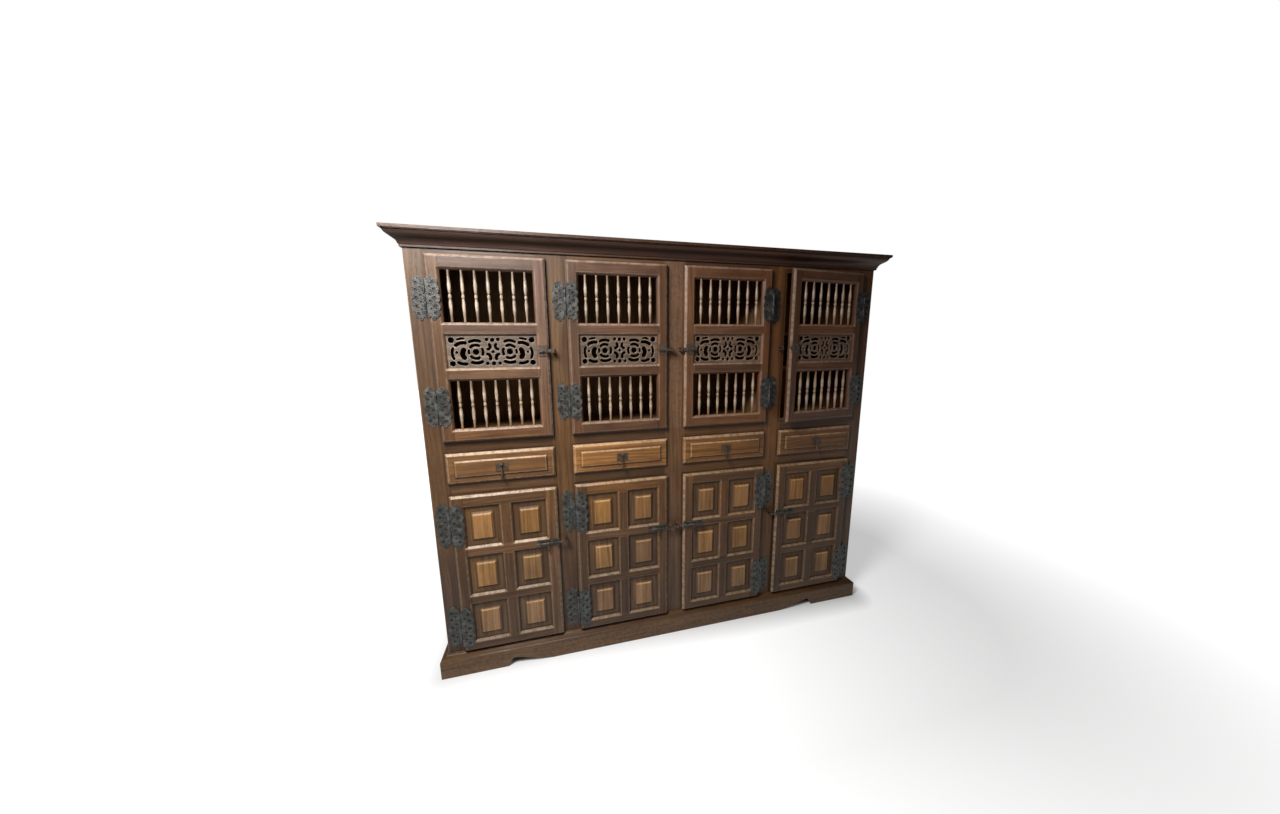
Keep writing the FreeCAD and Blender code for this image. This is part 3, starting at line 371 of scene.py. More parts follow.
def piece(name, patches, finish, body, stands_for=(), crease=BOARDLIKE):
    """A finished piece: its mesh, its finish, the body it moves with and the nodes it stands for."""
    mesh = sew(name, patches, crease)
    mesh.materials.append(finish)
    made = bpy.data.objects.new(name, mesh)
    bpy.context.scene.collection.objects.link(made)
    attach(made, body)
    if stands_for:
        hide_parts(*stands_for)
    return made


print("a patch of 3 by 4 points has", len(patch(np.zeros((3, 4, 3)), 0, 0, 0)[2]), "faces")

# %% [markdown]
# ## Wood
# Each board is cut from a plank, so its figure is long along the fibres and short across them. The growth
# rings and the fibres are noises drawn out along the board and bent by a slower one, and the pores are
# short dark dashes. Stain is darker where the wood drinks more of it. Wax and hands rub the arrises light.
# Inner corners, recesses and creases are painted dark as shade, and up-facing bevels get a painted highlight.
# All of it reads the board's own grain, so it turns with the board. Each noise has its numbers: how often it
# comes per metre across the fibres and along them, its detail and, where it isn't the usual half, its
# roughness.
# The front is also tinted as a whole by painted light: golden at the drawers, a greyer painted sheen above
# them on the left, redder and darker on the right as the light falls off, and dull near the floor as painted
# shade. Two ramps by height say how, one for each end.

# %% The wood finish
BEND_GRAIN, BEND_REACH = (7.0, 1.6), 0.055
RINGS, FIBRES, PORES = (95.0, 2.2, 2.5, 0.55), (620.0, 11.0, 3.0, 0.6), (1500.0, 46.0, 1.0)
BLOTCH, RUBBING = (11.0, 5.0, 3.0), (60.0, 60.0, 3.0)
RING_SHARE, FIBRE_LEVEL, FIBRE_SHARE = 0.80, 0.3, 0.5
FIGURE_STOPS = (0.26, 0.50, 0.76)
RING_RELIEF, FIBRE_RELIEF, PORE_RELIEF = 0.7, 0.6, -1.1
BOARD_TONES, HUE_TURNS = (0.0, 1.0, 0.72, 1.28), 7.31
PORE_RANGE, PORE_DARK = (0.60, 0.72, 0.0, 0.5), 0.35
RUB_RANGE = (0.36, 0.60, 0.40, 1.0)
GRIME_AND_SHADE = (0.012, 0.006, 0.004)
BLOTCHES = ((0.30, (0.66, 0.62, 0.60)), (0.55, (1.0, 1.0, 1.0)), (0.80, (1.14, 1.08, 1.0)))
GOLDEN, MAUVE = (1.12, 0.98, 0.72), (1.0, 0.94, 0.94)
# Painted light by height, one ramp for each end: sheen, warm band at the drawers, falloff and shade.
LEFT_PAINTED_LIGHT = ((0.10, (0.74, 0.83, 0.99)), (0.30, (0.96, 1.0, 1.0)), (0.40, (1.0, 0.98, 0.80)),
             (0.56, (1.0, 0.96, 0.78)), (0.70, (0.78, 0.86, 0.88)), (0.95, (0.76, 0.87, 1.0)))
RIGHT_PAINTED_LIGHT = ((0.10, (0.64, 0.68, 0.74)), (0.30, (0.78, 0.78, 0.76)), (0.40, (0.96, 0.90, 0.74)),
              (0.56, (0.98, 0.88, 0.72)), (0.70, (1.0, 0.86, 0.76)), (0.95, (0.98, 0.84, 0.74)))


def wood_surface(tree, vector, tone, marks, colours, rough=0.46, shine=0.07):
    """Links the whole wood finish to the tree's output, from a grain vector, a tone and a marks socket."""
    *stained, worn_and_highlight = colours
    bend = add_node(tree, "ShaderNodeTexNoise", Vector=stretched(tree, vector, *BEND_GRAIN), Scale=1.0,
                    Detail=2.0)
    bent = vectors(tree, "ADD", vector, scaled(tree, bend.outputs["Color"], BEND_REACH))
    rings, fibres, pores = (drawn_noise(tree, bent, *kind) for kind in (RINGS, FIBRES, PORES))
    blotch, rubbed_in = (drawn_noise(tree, vector, *kind) for kind in (BLOTCH, RUBBING))
    fine = sums(tree, "MULTIPLY", sums(tree, "SUBTRACT", fibres, FIBRE_LEVEL), FIBRE_SHARE)
    figure = times_plus(tree, rings, RING_SHARE, fine)
    colour = ramp_node(tree, figure, tuple(zip(FIGURE_STOPS, stained)))
    colour = blend(tree, 0.8, colour, ramp_node(tree, blotch, BLOTCHES), "MULTIPLY")
    colour = scaled(tree, colour, ranged(tree, tone, *BOARD_TONES))
    hue = sums(tree, "FRACT", sums(tree, "MULTIPLY", tone, HUE_TURNS), 0.0)
    colour = blend(tree, 1.0, colour, blend(tree, hue, GOLDEN, MAUVE), "MULTIPLY")
    place = add_node(tree, "ShaderNodeSeparateXYZ", Vector=object_place(tree))
    level = sums(tree, "MULTIPLY", place.outputs[2], 0.5)
    # Painted light over the whole front, mixed from the left end's ramp to the right end's.
    painted_light = blend(tree, ranged(tree, place.outputs[0], -0.6, 0.5), ramp_node(tree, level, LEFT_PAINTED_LIGHT),
                 ramp_node(tree, level, RIGHT_PAINTED_LIGHT))
    colour = blend(tree, 1.0, colour, painted_light, "MULTIPLY")
    pore = ranged(tree, pores, *PORE_RANGE)
    colour = blend(tree, pore, colour, tuple(PORE_DARK * part for part in stained[0]))
    rub = ranged(tree, rubbed_in, *RUB_RANGE)
    rub = sums(tree, "MULTIPLY", ranged(tree, marks, 0.52, 1.0), rub)
    # The rubbed colour shows wear, and also paints the highlights that the pieces' marks ask for.
    colour = blend(tree, sums(tree, "MULTIPLY", rub, 0.50), colour, worn_and_highlight)
    # Below the middle the marks darken the wood: dark joints, the patches under the hinges, and painted
    # shade.
    colour = blend(tree, ranged(tree, marks, 0.48, 0.0, 0.0, 0.8), colour, GRIME_AND_SHADE)
    height = times_plus(tree, fibres, FIBRE_RELIEF, sums(tree, "MULTIPLY", pore, PORE_RELIEF))
    height = times_plus(tree, rings, RING_RELIEF, height)
    bump = add_node(tree, "ShaderNodeBump", Strength=0.55, Distance=0.0007, Height=height)
    roughness = ranged(tree, figure, 0.3, 0.7, rough + 0.10, rough - 0.06)
    roughness = sums(tree, "SUBTRACT", roughness, sums(tree, "MULTIPLY", rub, 0.10), clamp=True)
    show(tree, add_node(tree, "ShaderNodeBsdfPrincipled", Base_Color=colour, Roughness=roughness,
                        Specular_IOR_Level=0.20, Coat_Weight=shine, Coat_Roughness=0.32,
                        Normal=bump.outputs[0]))


BOARD_GAP, SLICE_GAP = 23.0, 40.0


def board_wood(name, colours, *gloss):
    """Wood for pieces that carry their own grain and marks. Each board is cut from a place of its own."""
    made, tree = new_finish(name)
    grain = add_node(tree, "ShaderNodeUVMap", uv_map="grain").outputs[0]
    marks = add_node(tree, "ShaderNodeUVMap", uv_map="marks").outputs[0]
    tone, marks = add_node(tree, "ShaderNodeSeparateXYZ", Vector=marks).outputs[:2]
    slices = add_node(tree, "ShaderNodeCombineXYZ", i2=sums(tree, "MULTIPLY", tone, BOARD_GAP)).outputs[0]
    wood_surface(tree, vectors(tree, "ADD", grain, slices), tone, marks, colours, *gloss)
    return made


def solid_wood(name, along, colours):
    """Wood for a solid that is shown as it is: the fibres run along one axis of the cabinet."""
    made, tree = new_finish(name)
    place = add_node(tree, "ShaderNodeSeparateXYZ", Vector=object_place(tree))
    order = {"x": (1, 0, 2), "y": (0, 1, 2), "z": (0, 2, 1)}[along]
    vector = add_node(tree, "ShaderNodeCombineXYZ", i0=place.outputs[order[0]], i1=place.outputs[order[1]],
                      i2=sums(tree, "MULTIPLY", place.outputs[order[2]], SLICE_GAP)).outputs[0]
    wood_surface(tree, vector, NEITHER, NEITHER, colours)
    return made


# Of each wood: the dark, middle and light of its stained fibres, and the wood where it's worn, also the
# colour of painted highlights.
WOODS = {
    "front": ((0.046, 0.022, 0.011), (0.084, 0.042, 0.020), (0.140, 0.078, 0.038), (0.42, 0.31, 0.20)),
    "grille_door": ((0.048, 0.023, 0.014), (0.090, 0.047, 0.028), (0.145, 0.082, 0.051), (0.32, 0.24, 0.18)),
    "drawer": ((0.064, 0.032, 0.017), (0.142, 0.075, 0.035), (0.270, 0.150, 0.070), (0.46, 0.34, 0.22)),
    "inner": ((0.170, 0.105, 0.060), (0.300, 0.200, 0.120), (0.420, 0.300, 0.190), (0.50, 0.38, 0.25)),
    "case": ((0.045, 0.021, 0.012), (0.092, 0.046, 0.025), (0.150, 0.080, 0.044), (0.26, 0.17, 0.10)),
    "crown": ((0.020, 0.008, 0.005), (0.038, 0.016, 0.009), (0.066, 0.030, 0.017), (0.15, 0.09, 0.055)),
    "post": ((0.046, 0.024, 0.014), (0.088, 0.048, 0.026), (0.145, 0.084, 0.048), (0.30, 0.20, 0.13)),
    "plinth": ((0.046, 0.022, 0.011), (0.086, 0.043, 0.020), (0.142, 0.076, 0.037), (0.34, 0.22, 0.13)),
    "panel": ((0.140, 0.070, 0.030), (0.272, 0.148, 0.064), (0.400, 0.236, 0.110), (0.56, 0.38, 0.20)),
    "turned": ((0.070, 0.044, 0.028), (0.150, 0.102, 0.068), (0.290, 0.215, 0.150), (0.62, 0.51, 0.40)),
    "carved": ((0.050, 0.034, 0.025), (0.100, 0.071, 0.053), (0.180, 0.135, 0.104), (0.56, 0.47, 0.38))}
GLOSS = {"turned": (0.34, 0.45), "carved": (0.5, 0.1)}

wood = {name: board_wood(name + "_wood", colours, *GLOSS.get(name, ())) for name, colours in WOODS.items()}
level_wood, upright_wood, deep_wood = (
    solid_wood("inner_wood_" + name, along, WOODS["inner"])
    for name, along in (("level", "x"), ("upright", "z"), ("deep", "y")))
print("wood finishes:", [made.name for made in bpy.data.materials if "wood" in made.name])


# %% [markdown]
# ## Iron
# The hinges and bolts are hand-cut sheet iron with a grey patina. The smith's hammer leaves shallow dimples,
# and old wax and dust sit in them paler than the metal on the high spots. The small latches of the upper
# doors and the drawers' pulls are browner, from hands, and the iron is made darker towards the topmost
# hinges.

# %% The iron finish
LATCH_HEIGHT, LATCH_BAND = 0.378, 0.035
DARKER_UP_HIGH = (1.35, 1.75, 1.0, 0.74)
HANDLED_DARK, HANDLED_LIGHT = (0.022, 0.014, 0.010), (0.120, 0.082, 0.058)


def iron_finish(name, low, middle, high, dust):
    """Hammered iron: dimples from cells, a patina from two noises, both in cabinet coordinates."""
    made, tree = new_finish(name)
    place = object_place(tree)
    cells = add_node(tree, "ShaderNodeTexVoronoi", feature="SMOOTH_F1", Vector=place, Scale=150.0,
                     Smoothness=0.6)
    cloud = noise(tree, place, 5.0, 0.62, 38.0)
    grit = noise(tree, place, 3.0, 0.6, 420.0)
    base = ramp_node(tree, cloud, ((0.38, low), (0.50, middle), (0.66, high)))
    colour = blend(tree, ranged(tree, grit, 0.45, 0.70, 0.0, 0.55), base, dust)
    level = add_node(tree, "ShaderNodeSeparateXYZ", Vector=place).outputs[2]
    handled = add_node(tree, "ShaderNodeMath", op="COMPARE", i0=level, i1=LEVEL["upper"] + LATCH_HEIGHT,
                       i2=LATCH_BAND).outputs[0]
    colour = blend(tree, handled, colour, blend(tree, cloud, HANDLED_DARK, HANDLED_LIGHT))
    # The iron is made darker towards the topmost hinges.
    colour = scaled(tree, colour, ranged(tree, level, *DARKER_UP_HIGH))
    dimple = ranged(tree, cells.outputs["Distance"], 0.1, 0.6)
    bump = add_node(tree, "ShaderNodeBump", Strength=0.6, Distance=0.0008,
                    Height=times_plus(tree, grit, 0.35, dimple))
    show(tree, add_node(tree, "ShaderNodeBsdfPrincipled", Base_Color=colour, Metallic=0.45,
                        Roughness=ranged(tree, cloud, 0.3, 0.7, 0.38, 0.66), Normal=bump.outputs[0]))
    return made


iron = iron_finish("hammered_iron", (0.009, 0.009, 0.009), (0.026, 0.027, 0.025), (0.086, 0.088, 0.078),
                   (0.096, 0.096, 0.083))
handled_iron = iron_finish("handled_iron", (0.016, 0.010, 0.006), (0.048, 0.030, 0.018),
                           (0.090, 0.058, 0.036), (0.10, 0.070, 0.046))
print("iron finishes:", iron.name, handled_iron.name)

# %% Places of the hinges
HINGE_LEAF = {"upper": (0.049, 0.170), "lower": (0.055, 0.212)}
HINGE_LEVELS = {"upper": (0.153, 0.586), "lower": (0.123, 0.625)}
IRON_THICK = 0.0025
UNDER_PLATE_WIDE, UNDER_PLATE_HIGH = 0.86, 0.41


def hinge_side(bay):
    """Which way a bay's doors reach from their pins along x, and the pins' x."""
    side = -1.0 if bay in RIGHT_HUNG else 1.0
    return side, BAY_X[bay] - side * (HALF_FRONT + PIN_GAP)


def under_hinges(row, on_post=False):
    """The rectangles of a door, or of the post beside it, that lie under its hinge plates. The wood there is
    made darker, and it shows dark in the plates' holes."""
    width, height = HINGE_LEAF[row]
    reach = UNDER_PLATE_WIDE * width
    x0, x1 = (-PIN_GAP - reach, -PIN_GAP) if on_post else (PIN_GAP, PIN_GAP + reach)
    return [(x0, level - UNDER_PLATE_HIGH * height, x1, level + UNDER_PLATE_HIGH * height) for level in HINGE_LEVELS[row]]


print("hinge leaves:", HINGE_LEAF)

# %% [markdown]
# ## Boards with eased edges
# A joiner takes the sharp arris off every board with a pass of the plane. So a board here is a rounded
# rectangle carried along the fibres, with its ends drawn in by the same small round. A box with a bevel
# would look alike, but would not know which way its fibres run.

# %% A plank
RNG = np.random.default_rng(1871)
EASE = 0.0012
WORN_BAND = 0.0035
EASE_SHARE, BAND_SHARE = 0.45, 0.4
GRAIN_RANGE = 5.0


def new_grain():
    """Where in the plank a board's figure starts, across and along: no two boards are alike."""
    return RNG.uniform(0.0, GRAIN_RANGE, 2)


def plank(low, high, along, ease=EASE, rub=0.85):
    """A closed board between two corners. Loop: a rectangle with rounded corners, in the plane across the
    fibres. Stations along the fibres: centre of the end, end face, eased edge, full section, and back."""
    low, high = np.asarray(low, float), np.asarray(high, float)
    axis = "xyz".index(along)
    first, second = [number for number in range(3) if number != axis]
    half_a, half_b = (high[first] - low[first]) / 2, (high[second] - low[second]) / 2
    ease = min(ease, EASE_SHARE * half_a, EASE_SHARE * half_b)
    band = min(WORN_BAND, BAND_SHARE * (min(half_a, half_b) - ease))
    turns = np.linspace(0.0, math.pi / 2, 3)
    quarter_a = np.concatenate([[half_a], half_a - ease + ease * np.cos(turns), [half_a - ease - band]])
    quarter_b = np.concatenate([[half_b - ease - band], half_b - ease + ease * np.sin(turns), [half_b]])
    quarter_rub = np.array([NEITHER, rub, rub, rub, NEITHER])
    loop_a = np.concatenate([quarter_a, -quarter_a[::-1], -quarter_a, quarter_a[::-1], quarter_a[:1]])
    loop_b = np.concatenate([quarter_b, quarter_b[::-1], -quarter_b, -quarter_b[::-1], quarter_b[:1]])
    loop_rub = np.concatenate([quarter_rub, quarter_rub, quarter_rub, quarter_rub, quarter_rub[:1]])
    length = high[axis] - low[axis]
    station = np.array([0.0, 0.0, ease, ease + band, length - ease - band, length - ease, length, length])
    shrink = np.array([0.0, 1.0, 0.0, 0.0, 0.0, 0.0, 1.0, 0.0])
    scale = np.array([0.0, 1.0, 1.0, 1.0, 1.0, 1.0, 1.0, 0.0])
    end_rub = np.array([NEITHER, rub, rub, NEITHER, NEITHER, rub, rub, NEITHER])
    a = np.sign(loop_a) * np.maximum(np.abs(loop_a)[None] - shrink[:, None] * ease, 0.0) * scale[:, None]
    b = np.sign(loop_b) * np.maximum(np.abs(loop_b)[None] - shrink[:, None] * ease, 0.0) * scale[:, None]
    points = np.empty(a.shape + (3,))
    points[..., first] = (low[first] + high[first]) / 2 + a
    points[..., second] = (low[second] + high[second]) / 2 + b
    points[..., axis] = low[axis] + station[:, None]
    step = np.hypot(np.diff(loop_a), np.diff(loop_b))
    around = np.concatenate([[0.0], np.cumsum(step)])
    offset = new_grain()
    tone = RNG.uniform(0.0, 1.0)
    marks = np.maximum(loop_rub[None], end_rub[:, None] * (scale[:, None] > 0))
    marks = np.where(scale[:, None] > 0, marks, NEITHER)
    return patch(points, around[None] * np.maximum(scale, 0.05)[:, None] + offset[0],
                 station[:, None] + offset[1] + np.zeros_like(a), tone, marks)


print("edges are eased by %.1f mm" % (1000 * EASE))

# %% [markdown]
# ## Framed leaves
# A door is a frame of stiles and rails. The edge of every opening and the outer edge are bevelled, and the
# bevels meet in mitres. The front of a leaf is therefore one height for each point of a grid: nothing on
# the flats, and on a bevel as much as the point is nearer to an edge than the bevel is wide. Nearness is
# the larger of the two distances along x and z, which is what makes a mitre. Each stile and rail is a
# patch of its own, so that its fibres run its own way, and a hair's width of joint shows between them.

# %% Reliefs on a grid
HAIR = 1e-6
MERGE = 1.5e-5
SOFT, SOFT_SHARE = 0.0008, 0.3


def outside(x, z, hole):
    """How far a point is outside a rectangle, by the larger of its two distances."""
    x0, z0, x1, z1 = hole
    return np.maximum(np.maximum(x0 - x, x - x1), np.maximum(z0 - z, z - z1))


def inside(x, z, rectangle):
    """How far a point is inside a rectangle."""
    return -outside(x, z, rectangle)


def soft_ramp(rise, soft=SOFT):
    """The larger of a number and zero, with the corner rounded off."""
    return 0.5 * (rise + np.sqrt(rise * rise + soft * soft))


def bump_at(distance, width):
    """One at no distance, and soon nothing on either side."""
    return np.exp(-(distance / width) ** 2)


def lines(stops, offsets, low, high):
    """The places where a relief bends: every stop with its offsets on both sides, between two limits."""
    offsets = np.asarray(offsets, float)
    offsets = np.concatenate([-offsets[::-1], [0.0], offsets])
    found = (np.asarray(stops, float)[:, None] + offsets[None]).ravel()
    found = found[(found > low - 1e-9) & (found < high + 1e-9)]
    return apart_lines(np.unique(np.round(found, 6)))


def apart_lines(found):
    """Leaves out a line that would lie on the one before it."""
    return found[np.concatenate([[True], np.diff(found) > MERGE])]


def grid(outer, *kinds):
    """The grid lines of a front along x and along z. Each kind is a list of rectangles, and the offsets from
    their edges at which the relief bends."""
    return [apart_lines(np.unique(np.concatenate([
        lines(np.array(rectangles)[:, axis::2].ravel(), offsets, outer[axis], outer[axis + 2])
        for rectangles, offsets in kinds]))) for axis in (0, 1)]


def between(found, low, high):
    """The grid lines from one place to another."""
    return found[(found > low - 2 * HAIR) & (found < high + 2 * HAIR)]


BEVEL_STOPS = np.array([0.0006, 0.0018, BEVEL - 0.0014, BEVEL - 0.0005, BEVEL + 0.0005, BEVEL + 0.0016,
                        BEVEL + 0.005])
JOINT = 0.0005
print("grid lines at a bevel:", len(BEVEL_STOPS))


# %% A framed leaf
def leaf(members, holes, outer, thick, front, xs, zs, tone=None):
    """A framed leaf as patches: the front and back of each member (the way of its fibres, then its
    rectangle), and the walls of the holes and the rim. Each member has its own tone unless one is given."""
    made = []
    for along, x0, z0, x1, z1 in members:
        x, z = np.meshgrid(between(xs, x0, x1), between(zs, z0, z1))
        depth, marks = front(x, z)
        shade = RNG.uniform(0.0, 1.0) if tone is None else tone
        shift = new_grain()
        across, run = (x, z) if along == "z" else (z, x)
        for y, mark in ((depth, marks), (np.full_like(x, thick), NEITHER)):
            made.append(patch(np.stack([x, y, z], -1), across + shift[0], run + shift[1], shade, mark))
    for x0, z0, x1, z1 in [outer] + list(holes):
        for side in ("left", "right", "low", "high"):
            upright = side in ("left", "right")
            run = between(zs, z0, z1) if upright else between(xs, x0, x1)
            x = np.full_like(run, x0 if side == "left" else x1) if upright else run
            z = run if upright else np.full_like(run, z0 if side == "low" else z1)
            rows = np.linspace(0.0, 1.0, 3)[:, None]
            y = front(x, z)[0][None] * (1 - rows) + thick * rows
            points = np.stack([x[None] + 0 * y, y, z[None] + 0 * y], -1)
            shift = new_grain()
            # The walls are painted darker towards the back, as shade.
            made.append(patch(points, y + shift[0], run[None] + 0 * y + shift[1], RNG.uniform(0.2, 0.8),
                              NEITHER - 0.12 * rows + 0 * y))
    return made


def hang(patches, row, bay):
    """Carries a door's patches from its own measures (x from the pin, y from the front) to its place."""
    side, pin = hinge_side(bay)
    turn = Matrix.Rotation(AJAR_ANGLE, 4, "Z") if (row, bay) == AJAR else Matrix.Identity(4)
    place = Matrix.Translation((pin, DOOR_Y, LEVEL[row])) @ turn @ Matrix.Diagonal((side, 1.0, 1.0, 1.0))
    return moved(patches, place)


def door_piece(row, what, bay, patches, finish, node=None, crease=BOARDLIKE):
    """A finished piece of a door, hung in its bay. It stands for one node of the door, if that is named."""
    door = "%s_door_%d" % (row, bay)
    return piece("%s_%s_%d" % (row, what, bay), hang(patches, row, bay), finish, door,
                 ["%s_%s" % (door, node)] if node else (), crease)


print("hinge pins at x =", ["%.3f" % hinge_side(bay)[1] for bay in BAYS])


# %% [markdown]
# ## The upper doors
# Two stiles and four rails hold a grille of seven turned spindles, a carved board and a second grille.

# %% Upper door frames
UPPER_STILE = 0.0515
GRILLE_LEFT, GRILLE_RIGHT = LEAF_LEFT + UPPER_STILE, LEAF_RIGHT - UPPER_STILE
UPPER_HIGH = 0.754
UPPER_RAILS = [(0.0, 0.056), (0.258, 0.312), (0.440, 0.494), (0.696, UPPER_HIGH)]
UPPER_HOLES = [(GRILLE_LEFT, low, GRILLE_RIGHT, high)
               for (_, low), (high, _) in zip(UPPER_RAILS[:-1], UPPER_RAILS[1:])]
ARRIS_RUB, RIM_RUB, LEDGE_HIGHLIGHT, JAMB_HIGHLIGHT = 0.28, 0.24, 0.42, 0.06
CORNER_SHADE, UNDER_PLATE_DARK = 0.22, 0.04
ARRIS_WIDE, RIM_WIDE = 0.0022, 0.0016
JOINT_DEEP, JOINT_SOFT, JOINT_DIRT = 0.8, 0.0001, 500.0


def frame_front(holes, outer, joints, dark_patches, bevel=BEVEL):
    """The front of a framed leaf. Depth: bevel width less nearness to an edge, where that is above zero.
    Joints: (x, z0, z1) lines that are sunk by a hair. Marks: rubbed on each arris, a painted highlight on
    bevels that face up or to the free edge, painted shade at the foot of each hole's bevel, and darker under
    the hinges."""
    def front(x, z):
        near_hole = np.min([outside(x, z, hole) for hole in holes], 0)
        near_rim = inside(x, z, outer)
        near = np.minimum(near_hole, near_rim)
        depth = soft_ramp(bevel - near, min(SOFT, SOFT_SHARE * bevel))
        marks = NEITHER + ARRIS_RUB * bump_at(near - bevel, ARRIS_WIDE)
        # Painted shade along the foot of each hole's bevel, in the inner corner.
        marks = marks + RIM_RUB * bump_at(near_rim, RIM_WIDE) - CORNER_SHADE * bump_at(near_hole, ARRIS_WIDE)
        # Painted highlight on bevels that face up, or towards the free edge beside each hole and at the rim.
        ledge = (near_rim < bevel) & ((near_rim == outer[3] - z) | (near_rim == outer[2] - x))
        for x0, z0, x1, z1 in holes:
            below = z0 - z
            ledge |= (below > -HAIR) & (below < bevel) & (x > x0 - below - HAIR) & (x < x1 + below + HAIR)
            jamb = (x < x0 + HAIR) & (x > x0 - bevel) & (z > z0 - (x0 - x)) & (z < z1 + (x0 - x))
            marks = marks + JAMB_HIGHLIGHT * jamb
        marks = marks + LEDGE_HIGHLIGHT * ledge
        # The wood under the hinge plates is made dark.
        for dark_patch in dark_patches:
            marks = np.where(inside(x, z, dark_patch) > HAIR, UNDER_PLATE_DARK, marks)
        for place, z0, z1 in joints:
            line = soft_ramp(JOINT - np.abs(x - place), JOINT_SOFT) * ((z > z0 - HAIR) & (z < z1 + HAIR))
            depth = depth + JOINT_DEEP * line
            marks = marks - JOINT_DIRT * line
        return depth, np.clip(marks, 0.0, 1.0)
    return front


# %% Both rows of door frames
UNDER_PLATE_EDGE = 0.0006


def under_plate_lines(row, axis):
    """Grid lines just inside and outside the edges of the darkened patches under the hinges, along x (0) or z
    (1).
    """
    edges = np.array([[dark_patch[axis], dark_patch[axis + 2]] for dark_patch in under_hinges(row)]).ravel()
    edges = edges[edges > PIN_GAP + HAIR]
    return np.unique(np.round(np.concatenate([edges - UNDER_PLATE_EDGE, edges + UNDER_PLATE_EDGE]), 6))


def door_frames(row, finish, stile, high, rails, holes, muntins=(), more_xs=()):
    """The frames of a row of doors: two stiles, the rails between them, and muntins between the rails."""
    left, right = LEAF_LEFT + stile, LEAF_RIGHT - stile
    outer = (LEAF_LEFT, 0.0, LEAF_RIGHT, high)
    members = [("z", LEAF_LEFT, 0.0, left, high), ("z", right, 0.0, LEAF_RIGHT, high)]
    members += [("x", left, low, right, top) for low, top in rails] + list(muntins)
    joints = [(x, low, top) for x in (left, right) for low, top in rails]
    xs, zs = grid(outer, (holes + [outer], BEVEL_STOPS))
    xs = np.unique(np.concatenate([xs, under_plate_lines(row, 0), more_xs]))
    zs = np.unique(np.concatenate([zs, under_plate_lines(row, 1)]))
    front = frame_front(holes, outer, joints, under_hinges(row))
    for bay in BAYS:
        patches = leaf(members, holes, outer, DOOR_THICK, front, xs, zs)
        made = door_piece(row, "leaf", bay, patches, finish, "frame")
        print(made.name, len(made.data.polygons), "faces")


door_frames("upper", wood["grille_door"], UPPER_STILE, UPPER_HIGH, UPPER_RAILS, UPPER_HOLES,
            more_xs=np.linspace(GRILLE_LEFT + 0.02, GRILLE_RIGHT - 0.02, 8))


# %% [markdown]
# ## Spindles
# Each spindle was turned on a lathe: a gouge sinks the necks and leaves two long bellies either side of a
# bead. A turned piece is a profile carried round its axis, so its height and its angle are the two
# parameters. The profile is drawn through a few points that a turner would mark with callipers.

# %% Turned pieces
def smooth_line(points, steps):
    """A smooth curve through the points (Catmull-Rom): each span mixes the points either side of it."""
    points = np.asarray(points, float)
    padded = np.concatenate([2 * points[:1] - points[1:2], points, 2 * points[-1:] - points[-2:-1]])
    t = np.linspace(0.0, 1.0, steps, endpoint=False)[None, :, None]
    p0, p1, p2, p3 = (padded[start:start + len(points) - 1][:, None] for start in range(4))
    curve = 0.5 * (2 * p1 + (p2 - p0) * t + (2 * p0 - 5 * p1 + 4 * p2 - p3) * t ** 2
                   + (3 * p1 - p0 - 3 * p2 + p3) * t ** 3)
    return np.concatenate([curve.reshape(-1, points.shape[1]), points[-1:]])


def turned(profile, sides, tone, marks=NEITHER):
    """A surface of revolution about z: profile rows are (radius, height), columns go once round."""
    radius, height = profile[:, 0][:, None], profile[:, 1][:, None]
    angle = np.linspace(0.0, 2 * math.pi, sides + 1)[None]
    points = np.stack([radius * np.cos(angle), radius * np.sin(angle), height + 0 * angle], -1)
    mean = float(np.mean(profile[:, 0]))
    shift = new_grain()
    marks = marks[:, None] if np.ndim(marks) else marks
    return patch(points, angle * mean + 0 * height + shift[0], height + 0 * angle + shift[1], tone, marks)


SPINDLE_HALF = [(0.70, 0.0), (0.70, 0.10), (0.73, 0.22), (0.84, 0.38), (0.95, 0.52), (1.0, 0.62),
                (0.95, 0.74), (0.80, 0.86), (0.68, 0.905), (0.68, 0.925), (0.84, 0.935), (0.90, 0.965),
                (0.92, 1.0)]
SPINDLE_BELLY, NECK_SHARE = 0.007, 0.72
BELLY_RUB_NECK_SHADE, SPINDLE_MARKS = 0.45, (0.25, 0.9)
GRILLE_HEIGHT = 0.202
SPINDLE_START, SPINDLE_PITCH, SPINDLE_Y = 0.0305, 0.048, DOOR_THICK / 2
half = smooth_line(SPINDLE_HALF, 3)
whole = np.concatenate([half, np.stack([half[::-1, 0], 2.0 - half[::-1, 1]], -1)[1:]])
spindle_profile = np.concatenate([[[0.0, 0.0]], whole * (SPINDLE_BELLY, GRILLE_HEIGHT / 2),
                                  [[0.0, GRILLE_HEIGHT]]])
# The bellies are rubbed lighter; the necks and ends are painted darker as shade.
bulge = (spindle_profile[:, 0] / SPINDLE_BELLY - NECK_SHARE) / (1.0 - NECK_SHARE)
spindle_marks = np.clip(NEITHER + BELLY_RUB_NECK_SHADE * bulge, *SPINDLE_MARKS)
SPINDLE_X = [GRILLE_LEFT + SPINDLE_START + SPINDLE_PITCH * number for number in range(7)]
for bay in BAYS:
    patches = []
    for low in (UPPER_HOLES[0][1], UPPER_HOLES[2][1]):
        for x in SPINDLE_X:
            turn = Matrix.Translation((x, SPINDLE_Y, low)) @ Matrix.Rotation(RNG.uniform(0.0, 6.28), 4, "Z")
            patches += moved([turned(spindle_profile, 14, RNG.uniform(0.60, 0.68), spindle_marks)], turn)
    made = door_piece("upper", "spindles", bay, patches, wood["turned"], "spindles", ROUNDED)
print("one spindle has", len(made.data.polygons) // 14, "faces")

